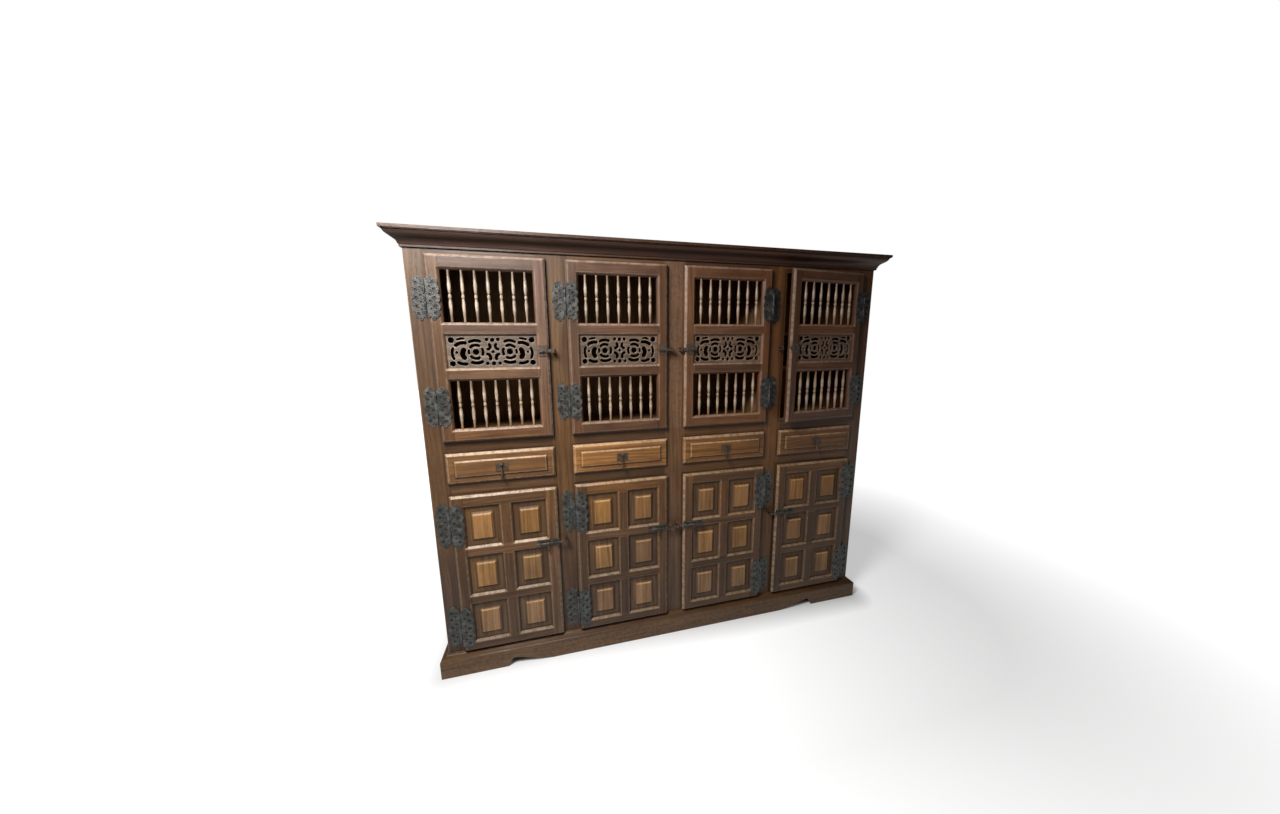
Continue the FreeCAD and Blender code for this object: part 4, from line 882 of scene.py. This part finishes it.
# %% [markdown]
# ## Pierced and carved boards
# The middle opening of an upper door holds a thin board sawn with curved slots, and what is left between the
# slots is rounded over and veined with a gouge, so that it reads as a scrolling vine. Each slot follows an
# arc and has round ends, so the distance from any point to it is known, and that distance shapes everything:
# where the board is sawn away, how the carving rounds over, where hands have rubbed it, and where shade is
# painted at the sawn edges and in the veins.

# %% The pattern
FRET_LOW = UPPER_HOLES[1][1]
FRET_HALF_X = (GRILLE_RIGHT - GRILLE_LEFT) / 2
FRET_HALF_Z = 0.064
FRET_THICK = 0.008
FRET_SETBACK = 0.008
SLOTS = [(0.527, -0.125, 0.391, 0.148, -38, 76), (0.642, -0.094, 0.688, 0.078, -28, 54),
         (0.642, -0.094, 0.672, 0.102, 50, 50), (0.642, -0.094, 0.672, 0.094, -100, 42),
         (0.642, -0.094, 0.938, 0.062, 70, 22), (0.378, 0, 0.422, 0.086, 45, 70),
         (0.378, 0, 0.422, 0.086, -115, 70), (0.378, 0, 0.422, 0.078, 155, 50),
         (0.378, 0, 0.422, 0.07, -12, 24), (0.378, 0, 0.719, 0.086, 62, 50),
         (0.378, 0, 0.719, 0.094, -118, 50), (0.143, -0.375, 0.219, 0.094, 105, 100),
         (0.126, 0.344, 0.188, 0.086, 140, 120)]
ROUND_HOLES = [(0.378, 0, 0.188), (0.894, 0.75, 0.172), (0.9, -0.734, 0.164), (0.791, -0.031, 0.078),
               (0.126, 0.781, 0.109), (0.138, -0.75, 0.102), (0, 0.75, 0.125), (0, -0.75, 0.125),
               (0, 0, 0.094)]


def slot_distance(x, z, across, up, radius, half_slot, start, sweep):
    """To the ring where the point's angle lies in the sweep, and elsewhere to the nearer of the two ends."""
    x, z = x - across * FRET_HALF_X, z - up * FRET_HALF_Z
    angle = (np.degrees(np.arctan2(z, x)) - start) % 360.0
    reach = radius * FRET_HALF_Z
    ends = [np.hypot(x - reach * math.cos(math.radians(turn)), z - reach * math.sin(math.radians(turn)))
            for turn in (start, start + sweep)]
    line = np.where(angle < sweep, np.abs(np.hypot(x, z) - reach), np.minimum(*ends))
    return line - half_slot * FRET_HALF_Z


def hole_distance(x, z):
    """Distance to the nearest hole, negative inside it. The pattern is the same left and right of x = 0."""
    x = np.abs(x)
    found = [slot_distance(x, z, *slot) for slot in SLOTS]
    found += [np.hypot(x - across * FRET_HALF_X, z - up * FRET_HALF_Z) - radius * FRET_HALF_Z
              for across, up, radius in ROUND_HOLES]
    return np.min(found, 0)


def to_edge(x, z, which, limit_x, limit_z):
    """Moves the chosen points along the slope of the distance until they lie on the hole's edge."""
    step = 1e-5
    for _ in range(2):
        distance = hole_distance(x, z)
        slope_x = (hole_distance(x + step, z) - hole_distance(x - step, z)) / (2 * step)
        slope_z = (hole_distance(x, z + step) - hole_distance(x, z - step)) / (2 * step)
        x = np.clip(np.where(which, x - distance * slope_x, x), -limit_x, limit_x)
        z = np.clip(np.where(which, z - distance * slope_z, z), -limit_z, limit_z)
    return x, z


print("in each half: %d slots, %d round holes" % (len(SLOTS), len(ROUND_HOLES)))

# %% A pierced board
FRET_STEP = 0.0015
SNAP = 0.42 * FRET_STEP
ROUND_OVER, ROUND_DEEP = 0.0030, 0.0023
VEIN_AT, VEIN_WIDE, VEIN_DEEP = 0.0042, 0.0007, 0.0010
CREST_AT, CREST_WIDE = 0.0025, 0.0010
CREST_RUB, SAWN_EDGE_SHADE, VEIN_SHADE, WALL_SHADE = 0.40, 0.45, 0.40, 0.3


def pierced_board(half_x, half_z, thick):
    """Front: a grid whose points near a hole are moved to its edge, rounded over by their distance from it
    and veined along each band. Cells in a hole are left out, and walls join front and back."""
    x, z = np.meshgrid(np.linspace(-half_x, half_x, 1 + int(2 * half_x / FRET_STEP)),
                       np.linspace(-half_z, half_z, 1 + int(2 * half_z / FRET_STEP)))
    inner = np.zeros(x.shape, bool)
    inner[1:-1, 1:-1] = True
    x, z = to_edge(x, z, inner & (np.abs(hole_distance(x, z)) < SNAP), half_x, half_z)
    distance = hole_distance(x, z)
    kept = (distance[:-1, :-1] + distance[:-1, 1:] + distance[1:, 1:] + distance[1:, :-1]) > 0.0
    framed = np.pad(kept, 1)
    around = np.stack([framed[:-1, :-1], framed[:-1, 1:], framed[1:, 1:], framed[1:, :-1]])
    edge = around.any(0) & ~around.all(0) & inner
    x, z = to_edge(x, z, edge, half_x, half_z)
    distance = np.maximum(hole_distance(x, z), 0.0)
    over = 1.0 - np.sqrt(1.0 - (1.0 - np.minimum(distance / ROUND_OVER, 1.0)) ** 2)
    vein = bump_at(distance - VEIN_AT, VEIN_WIDE)
    marks = NEITHER + CREST_RUB * bump_at(distance - CREST_AT, CREST_WIDE)
    # Painted shade at the sawn edges and in the veins.
    marks = marks - SAWN_EDGE_SHADE * bump_at(distance, CREST_WIDE) - VEIN_SHADE * vein
    front = ROUND_DEEP * over + VEIN_DEEP * vein
    points = np.concatenate([np.stack([x, front, z], -1).reshape(-1, 3),
                             np.stack([x, np.full_like(x, thick), z], -1).reshape(-1, 3)])
    index = np.arange(x.size).reshape(x.shape)
    cells = np.stack([index[:-1, :-1], index[:-1, 1:], index[1:, 1:], index[1:, :-1]], -1)[kept]
    across_x = framed[1:-1, :-1] != framed[1:-1, 1:]
    across_z = framed[:-1, 1:-1] != framed[1:, 1:-1]
    first = np.concatenate([index[:-1][across_x], index[:, :-1][across_z]])
    second = np.concatenate([index[1:][across_x], index[:, 1:][across_z]])
    walls = np.stack([first, second, second + x.size, first + x.size], -1)
    shift = new_grain()
    # The back face and the back of the holes' walls are painted dark as shade.
    extra = np.stack([np.concatenate([z.ravel(), z.ravel() + thick]) + shift[0], points[:, 0] + shift[1],
                      np.full(len(points), RNG.uniform(0.62, 0.68)),
                      np.concatenate([np.clip(marks, 0.0, 1.0).ravel(), np.full(x.size, WALL_SHADE)])], -1)
    used = np.unique(np.concatenate([cells.ravel(), cells.ravel() + x.size]))
    place = np.full(len(points), -1)
    place[used] = np.arange(len(used))
    return points[used], extra[used], place[np.concatenate([cells, cells[:, ::-1] + x.size, walls])]


middle_of_grille = ((GRILLE_LEFT + GRILLE_RIGHT) / 2, FRET_SETBACK, FRET_LOW + FRET_HALF_Z)
for bay in BAYS:
    board = pierced_board(FRET_HALF_X, FRET_HALF_Z, FRET_THICK)
    patches = moved([board], Matrix.Translation(middle_of_grille))
    made = door_piece("upper", "carving", bay, patches, wood["carved"], "fretwork", ROUNDED)
print("a carved board has", len(made.data.polygons), "faces")

# %% [markdown]
# ## The lower doors
# Two stiles, a muntin and four rails hold six raised panels. A panel is planed down at its edges to fit its
# groove, which leaves a raised field in the middle, as on a bar of chocolate.

# %% Lower door frames
LOWER_STILE = 0.056
MUNTIN = 0.060
LOWER_HIGH = 0.760
RECESS_WIDTH = (DOOR_WIDTH - 2 * LOWER_STILE - MUNTIN) / 2
RECESS_HEIGHT = 0.182
RECESS_X = (LEAF_LEFT + LOWER_STILE, LEAF_LEFT + LOWER_STILE + RECESS_WIDTH + MUNTIN)
RECESS_Z = (0.052, 0.286, 0.520)
LOWER_HOLES = [(x, z, x + RECESS_WIDTH, z + RECESS_HEIGHT) for z in RECESS_Z for x in RECESS_X]
LOWER_RAILS = [(0.0, 0.052), (0.234, 0.286), (0.468, 0.520), (0.702, LOWER_HIGH)]
MUNTINS = [("z", RECESS_X[0] + RECESS_WIDTH, low, RECESS_X[1], low + RECESS_HEIGHT) for low in RECESS_Z]
door_frames("lower", wood["front"], LOWER_STILE, LOWER_HIGH, LOWER_RAILS, LOWER_HOLES, MUNTINS)

# %% Raised panels
PANEL_BACK_Y = DOOR_THICK - BEVEL / 2
PANEL_EDGE_Y = PANEL_BACK_Y - 0.006
PANEL_FIELD_Y = 0.0025
BORDER_X, BORDER_Z, SLOPE = 0.020, 0.023, 0.013
FIELD_RUB, TOP_HIGHLIGHT = 0.22, 0.86
RIM_SHADE, BORDER_SHADE, FOOT_SHADE, SLOPE_SHADE = 0.40, 0.42, 0.30, 0.40
FOOT_SOFT, TOP_SOFT = 0.0006, 0.06
FIELD_WIDE, TOP_WIDE, FOOT_WIDE, RIM_SHADE_WIDE = 0.0020, 0.0018, 0.0028, 0.0035


def panel_front(x, z):
    """A raised panel: flat at the border, then rising over one slope's width to the field. Nearness to the
    border's inner line is the less of the two along x and z, so that the four slopes meet in mitres. The
    rim, the border and the slopes are painted dark as shade, and the field's edge is rubbed, with a painted
    highlight along its top edge."""
    past = np.minimum(np.minimum(x, RECESS_WIDTH - x) - BORDER_X, np.minimum(z, RECESS_HEIGHT - z) - BORDER_Z)
    share = soft_ramp(past, FOOT_SOFT) / SLOPE
    rise = share - soft_ramp(share - 1.0, TOP_SOFT)
    rim = np.minimum(np.minimum(x, RECESS_WIDTH - x), np.minimum(z, RECESS_HEIGHT - z))
    # Painted shade on the rim, the border and the slopes; painted highlight on the field's top edge.
    marks = NEITHER + FIELD_RUB * bump_at(past - SLOPE, FIELD_WIDE) - RIM_SHADE * bump_at(rim, RIM_SHADE_WIDE)
    marks = marks - BORDER_SHADE * (past < 0.0) - FOOT_SHADE * bump_at(past, FOOT_WIDE)
    on_slope = (past > 0.0) & (past < SLOPE - HAIR)
    facing_up = np.abs(RECESS_HEIGHT - z - BORDER_Z - past) < HAIR
    marks = marks - SLOPE_SHADE * on_slope + TOP_HIGHLIGHT * (facing_up & (np.abs(past - SLOPE) < TOP_WIDE))
    return PANEL_EDGE_Y + (PANEL_FIELD_Y - PANEL_EDGE_Y) * np.clip(rise, 0.0, 1.0), np.clip(marks, 0.0, 1.0)


panel_steps = np.array([0.0, 0.0007, 0.0015, SLOPE / 2, SLOPE - 0.0015, SLOPE - 0.0006, SLOPE, SLOPE + 0.0006,
                        SLOPE + 0.0015, SLOPE + 0.005])
panel_xs = lines([0.0, RECESS_WIDTH], np.concatenate([[0.002, 0.007, 0.014], BORDER_X + panel_steps]), 0.0,
                 RECESS_WIDTH)
panel_zs = lines([0.0, RECESS_HEIGHT], np.concatenate([[0.002, 0.007, 0.016], BORDER_Z + panel_steps]), 0.0,
                 RECESS_HEIGHT)
panel_rectangle = (0.0, 0.0, RECESS_WIDTH, RECESS_HEIGHT)
for bay in BAYS:
    patches = []
    for low in RECESS_Z:
        for left in RECESS_X:
            one = leaf([("z",) + panel_rectangle], [], panel_rectangle, PANEL_BACK_Y, panel_front, panel_xs,
                       panel_zs)
            patches += moved(one, Matrix.Translation((left, 0.0, low)))
    made = door_piece("lower", "panels", bay, patches, wood["panel"], "panels")
print("the panels of one door have", len(made.data.polygons), "faces")

# %% [markdown]
# ## Drawers
# A drawer's front laps over the frame as the doors do. Its edge is bevelled, and a flat field stands a few
# millimetres proud in the middle. The box behind it is plain boards.

# %% Drawer fronts and boxes
DRAWER_HIGH = 0.137
FIELD_X, FIELD_Z = 0.034, 0.031
FIELD_RAISE = 0.007
FIELD_STEP = 0.001
FIELD_EDGE = FIELD_RAISE - FIELD_STEP
DRAWER_RUB, LIP_RUB = 0.42, 0.25
STEP_WIDE, FOOT_OUT, DRAWER_WIDE = 0.0003, 0.0004, 0.0024
DRAWER_OUTER = (-HALF_FRONT, 0.0, HALF_FRONT, DRAWER_HIGH)
DRAWER_FIELD = (FIELD_X - HALF_FRONT, FIELD_Z, HALF_FRONT - FIELD_X, DRAWER_HIGH - FIELD_Z)


def drawer_front(x, z):
    """Depth from the rim's bevel, and less by the field's rise where the point lies inside the field."""
    near_rim = inside(x, z, DRAWER_OUTER)
    into_field = inside(x, z, DRAWER_FIELD)
    step = FIELD_STEP * np.clip(into_field / STEP_WIDE, 0.0, 1.0)
    slope = soft_ramp(into_field, STEP_WIDE) - soft_ramp(into_field - FIELD_EDGE)
    depth = FIELD_RAISE + soft_ramp(BEVEL - near_rim) - np.clip(step + slope, 0.0, FIELD_RAISE)
    marks = NEITHER + DRAWER_RUB * bump_at(near_rim - BEVEL, DRAWER_WIDE)
    marks = marks + LIP_RUB * bump_at(near_rim, RIM_WIDE)
    marks = marks + CREST_RUB * bump_at(into_field - FIELD_EDGE, TOP_WIDE)
    # Painted shade: a dark line just outside the foot of the raised field.
    marks = marks - BORDER_SHADE * bump_at(into_field + FOOT_OUT, RIM_WIDE)
    # Painted highlight on the rim's top bevel and the field's top slope, which face up.
    up_rim = (near_rim < BEVEL) & (near_rim > DRAWER_HIGH - z - HAIR)
    up_field = (into_field > 0.0) & (into_field < FIELD_EDGE) & (into_field > DRAWER_FIELD[3] - z - HAIR)
    marks = marks + LEDGE_HIGHLIGHT * (up_rim | up_field)
    return depth, np.clip(marks, 0.0, 1.0)


field_stops = np.array([0.0003, 0.0009, 0.0020, 0.0050, 0.0056, 0.0060, 0.0066, 0.0075, 0.010])
drawer_xs, drawer_zs = grid(DRAWER_OUTER, ([DRAWER_OUTER], BEVEL_STOPS), ([DRAWER_FIELD], field_stops))
BOX_HALF = 0.2145
BOX_LOW, BOX_HIGH = 0.0105, 0.1155
BOX_LENGTH = 0.380
BOX_FRONT, BOX_BACK = DOOR_THICK, DOOR_THICK + BOX_LENGTH
BOX_SIDE, BOX_BOTTOM = 0.012, 0.008
DRAWER_TONE = {1: 0.24, 2: 0.985, 3: 0.42, 4: 0.16}
for bay in BAYS:
    at = Matrix.Translation((BAY_X[bay], DOOR_Y, DRAWER_Z))
    patches = leaf([("x",) + DRAWER_OUTER], [], DRAWER_OUTER, DOOR_THICK, drawer_front, drawer_xs, drawer_zs,
                   DRAWER_TONE[bay])
    piece("drawer_front_%d" % bay, moved(patches, at), wood["drawer"], "drawer_%d" % bay,
          ["drawer_%d_box" % bay])
    inner = BOX_HALF - BOX_SIDE
    boards = [
        plank((-BOX_HALF, BOX_FRONT, BOX_LOW), (-inner, BOX_BACK, BOX_HIGH), "y"),
        plank((inner, BOX_FRONT, BOX_LOW), (BOX_HALF, BOX_BACK, BOX_HIGH), "y"),
        plank((-inner, BOX_BACK - BOX_SIDE, BOX_LOW), (inner, BOX_BACK, BOX_HIGH), "x"),
        plank((-inner, BOX_FRONT, BOX_LOW), (inner, BOX_BACK - BOX_SIDE, BOX_LOW + BOX_BOTTOM), "x")]
    piece("drawer_boards_%d" % bay, moved(boards, at), wood["inner"], "drawer_%d" % bay)
print("drawers made")

# %% [markdown]
# ## The case and its front frame
# Posts and rails of one thickness lie flush. Where two boards meet, their eased edges leave a fine line.

# %% Face frame
END_POST, HALF_POST = 0.083, 0.051
POST_X = [(-HALF_WIDTH, -HALF_WIDTH + END_POST)]
POST_X += [(BAY_PITCH * (post - 2) - HALF_POST, BAY_PITCH * (post - 2) + HALF_POST) for post in (1, 2, 3)]
POST_X += [(HALF_WIDTH - END_POST, HALF_WIDTH)]
FOOT_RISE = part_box("face_frame")[0].z
CASE_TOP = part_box("face_frame")[1].z
FRAME_RAILS = [(FOOT_RISE, 0.120), (0.860, 0.931), (1.048, 1.119), (1.853, CASE_TOP)]
FRAME_OUTER = (-HALF_WIDTH, FOOT_RISE, HALF_WIDTH, CASE_TOP)
gaps = [(left, right) for (_, left), (right, _) in zip(POST_X[:-1], POST_X[1:])]
FRAME_HOLES = [(left, low, right, high) for left, right in gaps
               for (_, low), (high, _) in zip(FRAME_RAILS[:-1], FRAME_RAILS[1:])]
FRAME_MEMBERS = [("z", x0, FOOT_RISE, x1, CASE_TOP) for x0, x1 in POST_X]
FRAME_MEMBERS += [("x", left, low, right, high) for left, right in gaps for low, high in FRAME_RAILS]
frame_joints = [(x, low, high) for pair in gaps for x in pair for low, high in FRAME_RAILS]
FRONT_Z = ((LEVEL["lower"], LOWER_HIGH), (DRAWER_Z, DRAWER_HIGH), (LEVEL["upper"], UPPER_HIGH))
FRONTS = [(BAY_X[bay] - HALF_FRONT, low, BAY_X[bay] + HALF_FRONT, low + high) for bay in BAYS
          for low, high in FRONT_Z]
post_dark_patches = []
for bay in BAYS:
    side, pin = hinge_side(bay)
    for row in ("upper", "lower"):
        for x0, z0, x1, z1 in under_hinges(row, on_post=True):
            ends = sorted((pin + side * x0, pin + side * x1))
            post_dark_patches.append((ends[0], z0 + LEVEL[row], ends[1], z1 + LEVEL[row]))
member_front = frame_front(FRAME_HOLES, FRAME_OUTER, frame_joints, post_dark_patches, EASE)


MIDDLE_POST_PALER = (0.34, 0.22)
FRONT_SHADOW, FRONT_SHADOW_WIDE = 0.42, 0.009


def case_front(x, z):
    """The frame's own relief, with a painted shadow line where each door and drawer front lies against it.
    The middle post is made paler than the others, and most of all beside the upper doors."""
    depth, marks = member_front(x, z)
    near = np.min([np.abs(outside(x, z, one)) for one in FRONTS], 0)
    # The middle post is made paler, most of all beside the upper doors.
    middle = (x > POST_X[2][0]) & (x < POST_X[2][1])
    marks = marks + middle * np.where(z > LEVEL["upper"], *MIDDLE_POST_PALER)
    # Painted shadow: a dark line round each door and drawer front.
    return depth, np.clip(marks - FRONT_SHADOW * bump_at(near, FRONT_SHADOW_WIDE), 0.0, 1.0)


frame_xs, frame_zs = grid(FRAME_OUTER, (FRAME_HOLES + [FRAME_OUTER], [0.0006, EASE, 0.0022, 0.005]),
                          (FRONTS, [0.004, FRONT_SHADOW_WIDE]), (post_dark_patches, [UNDER_PLATE_EDGE]))
patches = leaf(FRAME_MEMBERS, FRAME_HOLES, FRAME_OUTER, FRAME_THICK, case_front, frame_xs, frame_zs)
made = piece("front_frame", moved(patches, Matrix.Translation((0.0, FACE_Y, 0.0))), wood["post"], "cabinet",
             ["face_frame"])
print(made.name, len(made.data.polygons), "faces")

# %% Top and sides
boards = [plank((-HALF_WIDTH, FACE_Y, CASE_TOP), (HALF_WIDTH, BACK_Y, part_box("top_board")[1].z), "x")]
piece("top_cover", boards, wood["case"], "cabinet", ["top_board"])
SIDE_THICK = 0.020
SIDE_JOINTS = [0.02, 0.15]
SIDE_Y = [FACE_Y + FRAME_THICK] + SIDE_JOINTS + [BACK_Y]
boards = []
for x0, x1 in ((-HALF_WIDTH, SIDE_THICK - HALF_WIDTH), (HALF_WIDTH - SIDE_THICK, HALF_WIDTH)):
    boards += [plank((x0, y0, 0.0), (x1, y1, CASE_TOP), "z", ease=0.0008, rub=0.62)
               for y0, y1 in zip(SIDE_Y[:-1], SIDE_Y[1:])]
piece("side_boards", boards, wood["case"], "cabinet", ["side_panels"])
print("top and sides made")


# %% [markdown]
# ## Crown and plinth
# A moulding is one profile carried along the front and both sides and mitred at the corners. The crown is a
# cove under a rounded nose and a square edge. The plinth stands out as a foot and is cut away between the
# feet, so its lower edge follows the saw's curve.

# %% Mouldings
MOULDING_RUB, SHARPEST = 0.28, 1.2


def run_surface(profile, reach, face, back, low_edge=None):
    """Patches of a moulding round the front and both sides. Profile rows are (out, up). Stations along the
    front are x, and the profile is pushed out along the mitre: at a corner both x and y move by `out`."""
    out, rise = profile[:, 0][:, None], profile[:, 1][:, None]
    along = np.concatenate([[0.0], np.cumsum(np.hypot(*np.diff(profile, axis=0).T))])[:, None]
    slope = np.abs(np.gradient(np.arctan2(np.gradient(rise[:, 0]), np.gradient(out[:, 0]))))
    marks = np.clip(NEITHER + MOULDING_RUB * np.minimum(slope, SHARPEST), 0.0, 1.0)[:, None]
    made = []

    def both(x, y, z, run, shade):
        shift = new_grain()
        tone = RNG.uniform(0.2, 0.8)
        made.append(patch(np.stack([x, y, z], -1), along + 0 * x + shift[0], run + 0 * x + shift[1], tone,
                          shade))

    stops = np.array([-reach, reach]) if low_edge is None else low_edge[0]
    share = stops[None] / reach
    floor_line = np.zeros_like(stops) if low_edge is None else low_edge[1]
    lifted = np.maximum(rise, 0.0)
    flat = profile[:, 1].max() if low_edge is None else low_edge[2]
    up = np.where(rise < flat, floor_line[None] + (flat - floor_line[None]) * lifted / flat, rise + 0 * share)
    x = share * reach + np.sign(share) * out * (np.abs(share) > 0.999999)
    both(x, face - out + 0 * x, up, x, marks + 0 * x)
    both(share * reach + 0 * up, face + 0 * up, up, x, NEITHER)
    for side in (-1.0, 1.0):
        y = np.array([face, back])[None]
        x = side * (reach + out) + 0 * y
        both(x, np.where(y == face, face - out, back + 0 * out), rise + 0 * y, y + 0 * x, marks + 0 * x)
        both(side * reach + 0 * x, y + 0 * x, rise + 0 * y, y + 0 * x, NEITHER)
        cap = np.array([0.0, 1.0])[None]
        both(side * (reach + out * cap), back + 0 * out * cap, rise + 0 * cap, y + 0 * x, NEITHER)
    return made


print("a moulding's edges stay sharp past %.0f degrees" % MITRE)

# %% Crown
CROWN_OUT, CROWN_HIGH = 0.053, 0.066
CROWN_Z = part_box("crown")[0].z
cove = smooth_line([(0.19, 0.15), (0.22, 0.24), (0.29, 0.34), (0.42, 0.43), (0.60, 0.51)], 4)
nose = smooth_line([(0.60, 0.51), (0.74, 0.60), (0.82, 0.70), (0.84, 0.78)], 4)[1:]
edge = [(0.925, 0.78), (0.93, 0.785), (0.93, 0.82), (0.99, 0.82), (1, 0.83), (1, 0.985), (0.985, 1), (0, 1)]
crown_profile = np.concatenate([[(0, 0), (0.13, 0), (0.14, 0.01), (0.14, 0.12)], cove, nose, edge])
crown_profile = crown_profile * (CROWN_OUT, CROWN_HIGH) + (0.0, CROWN_Z)
cornice = run_surface(crown_profile, HALF_WIDTH, FACE_Y, BACK_Y)
piece("cornice", cornice, wood["crown"], "cabinet", ["crown"], MITRE)
print("cornice made, %.0f mm high" % (1000 * CROWN_HIGH))

# %% Plinth
PLINTH_OUT, PLINTH_HIGH = 0.031, 0.104
NOTCH_START, NOTCH_LONG, NOTCH_HIGH = HALF_WIDTH - 0.262, 0.205, 0.040
foot_curve = smooth_line([(0.12, 1), (0.22, 0.96), (0.36, 0.80), (0.55, 0.50), (0.76, 0.22), (1, 0)], 5)
foot_line = np.concatenate([[(0, 0), (0.06, 0.62)], foot_curve])
foot_line = np.clip(foot_line, 0.0, 1.0) * (NOTCH_LONG, NOTCH_HIGH)
left_line = np.stack([foot_line[:, 0] - NOTCH_START, foot_line[:, 1]], -1)
low_line = np.concatenate([[(-HALF_WIDTH, 0)], left_line, left_line[::-1] * (-1, 1), [(HALF_WIDTH, 0)]])
PLINTH_FLAT = 0.82 * PLINTH_HIGH
plinth_top = smooth_line([(0.80, 0.87), (0.62, 0.89), (0.40, 0.92), (0.22, 0.955), (0.12, 1)], 3)
plinth_profile = np.concatenate([[(0, 0), (0.985, 0), (1, 0.005), (1, 0.81), (0.99, 0.82), (0.86, 0.84)],
                                 plinth_top, [(0, 1)]]) * (PLINTH_OUT, PLINTH_HIGH)
foot = run_surface(plinth_profile, HALF_WIDTH, FACE_Y, BACK_Y, (low_line[:, 0], low_line[:, 1], PLINTH_FLAT))
piece("foot_moulding", foot, wood["plinth"], "cabinet", ["plinth"], MITRE)
print("plinth made")

# %% [markdown]
# ## Solids that are shown as they are
# The boards inside the case are right as they stand, and need only their finish. The ironwork keeps its
# shape too, and a small bevel takes the edge off the cut sheet.

# %% Finishes on the solids
WELD_REACH, IRON_EASE = 0.00001, 0.0005


def dress(node_name, finish):
    """Gives every material slot of a solid the same finish."""
    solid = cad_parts[node_name]
    if not solid.material_slots:
        solid.data.materials.append(finish)
    for slot in solid.material_slots:
        slot.material = finish
    return solid


def soften(solid):
    """Welds a solid's loose triangles and rounds its sharp edges."""
    solid.modifiers.new("weld", "WELD").merge_threshold = WELD_REACH
    edge = solid.modifiers.new("eased_edge", "BEVEL")
    edge.width = IRON_EASE
    edge.segments = 2
    edge.limit_method = "ANGLE"
    edge.angle_limit = math.radians(40.0)


CASE_FINISH = {"dividers": upright_wood, "back_boards": upright_wood, "bottom_boards": level_wood,
               "shelves_and_decks": level_wood, "drawer_guides": deep_wood}
for node_name, finish in CASE_FINISH.items():
    dress(node_name, finish)
iron_nodes = [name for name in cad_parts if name.endswith(("_ironwork", "_bolt", "_plate", "_drop"))]
iron_nodes += ["hinge_post_leaves", "bolt_keepers"]
for node_name in iron_nodes:
    solid = dress(node_name, iron if "iron" in node_name or "leaves" in node_name else handled_iron)
    soften(solid)
print("iron nodes:", len(iron_nodes))

# %% [markdown]
# ## Nails
# Each hinge leaf is held by five hand-made nails with domed heads, set between the holes of the plate.

# %% Nail heads
NAIL_RADIUS, NAIL_HIGH = 0.0026, 0.0013
NAIL_SPOTS = [(0.88, 0.0), (0.36, 0.17), (0.36, -0.17), (0.24, 0.335), (0.24, -0.335)]
dome = np.array([(0, 0), (1, 0), (0.97, 0.35), (0.74, 0.78), (0.38, 0.96), (0, 1)]) * (NAIL_RADIUS, NAIL_HIGH)


def nails(row, side, y):
    """The nail heads of a door's leaves (side 1) or of the post's (side -1), in the door's own measures."""
    width, height = HINGE_LEAF[row]
    made = []
    for level in HINGE_LEVELS[row]:
        for across, up in NAIL_SPOTS:
            at = Matrix.Translation((side * (PIN_GAP + across * width), y, level + up * height))
            made += moved([turned(dome, 9, NEITHER)], at @ Matrix.Rotation(math.pi / 2, 4, "X"))
    return made


post_nails = []
for bay in BAYS:
    for row in ("upper", "lower"):
        door_piece(row, "hinge_nails", bay, nails(row, 1.0, -IRON_THICK), iron, crease=ROUNDED)
        side, pin = hinge_side(bay)
        at = Matrix.Translation((pin, FACE_Y - IRON_THICK, LEVEL[row]))
        post_nails += moved(nails(row, -1.0, 0.0), at @ Matrix.Diagonal((side, 1.0, 1.0, 1.0)))
piece("post_hinge_nails", post_nails, iron, "cabinet", crease=ROUNDED)
print("nails made:", len(post_nails), "in the posts")
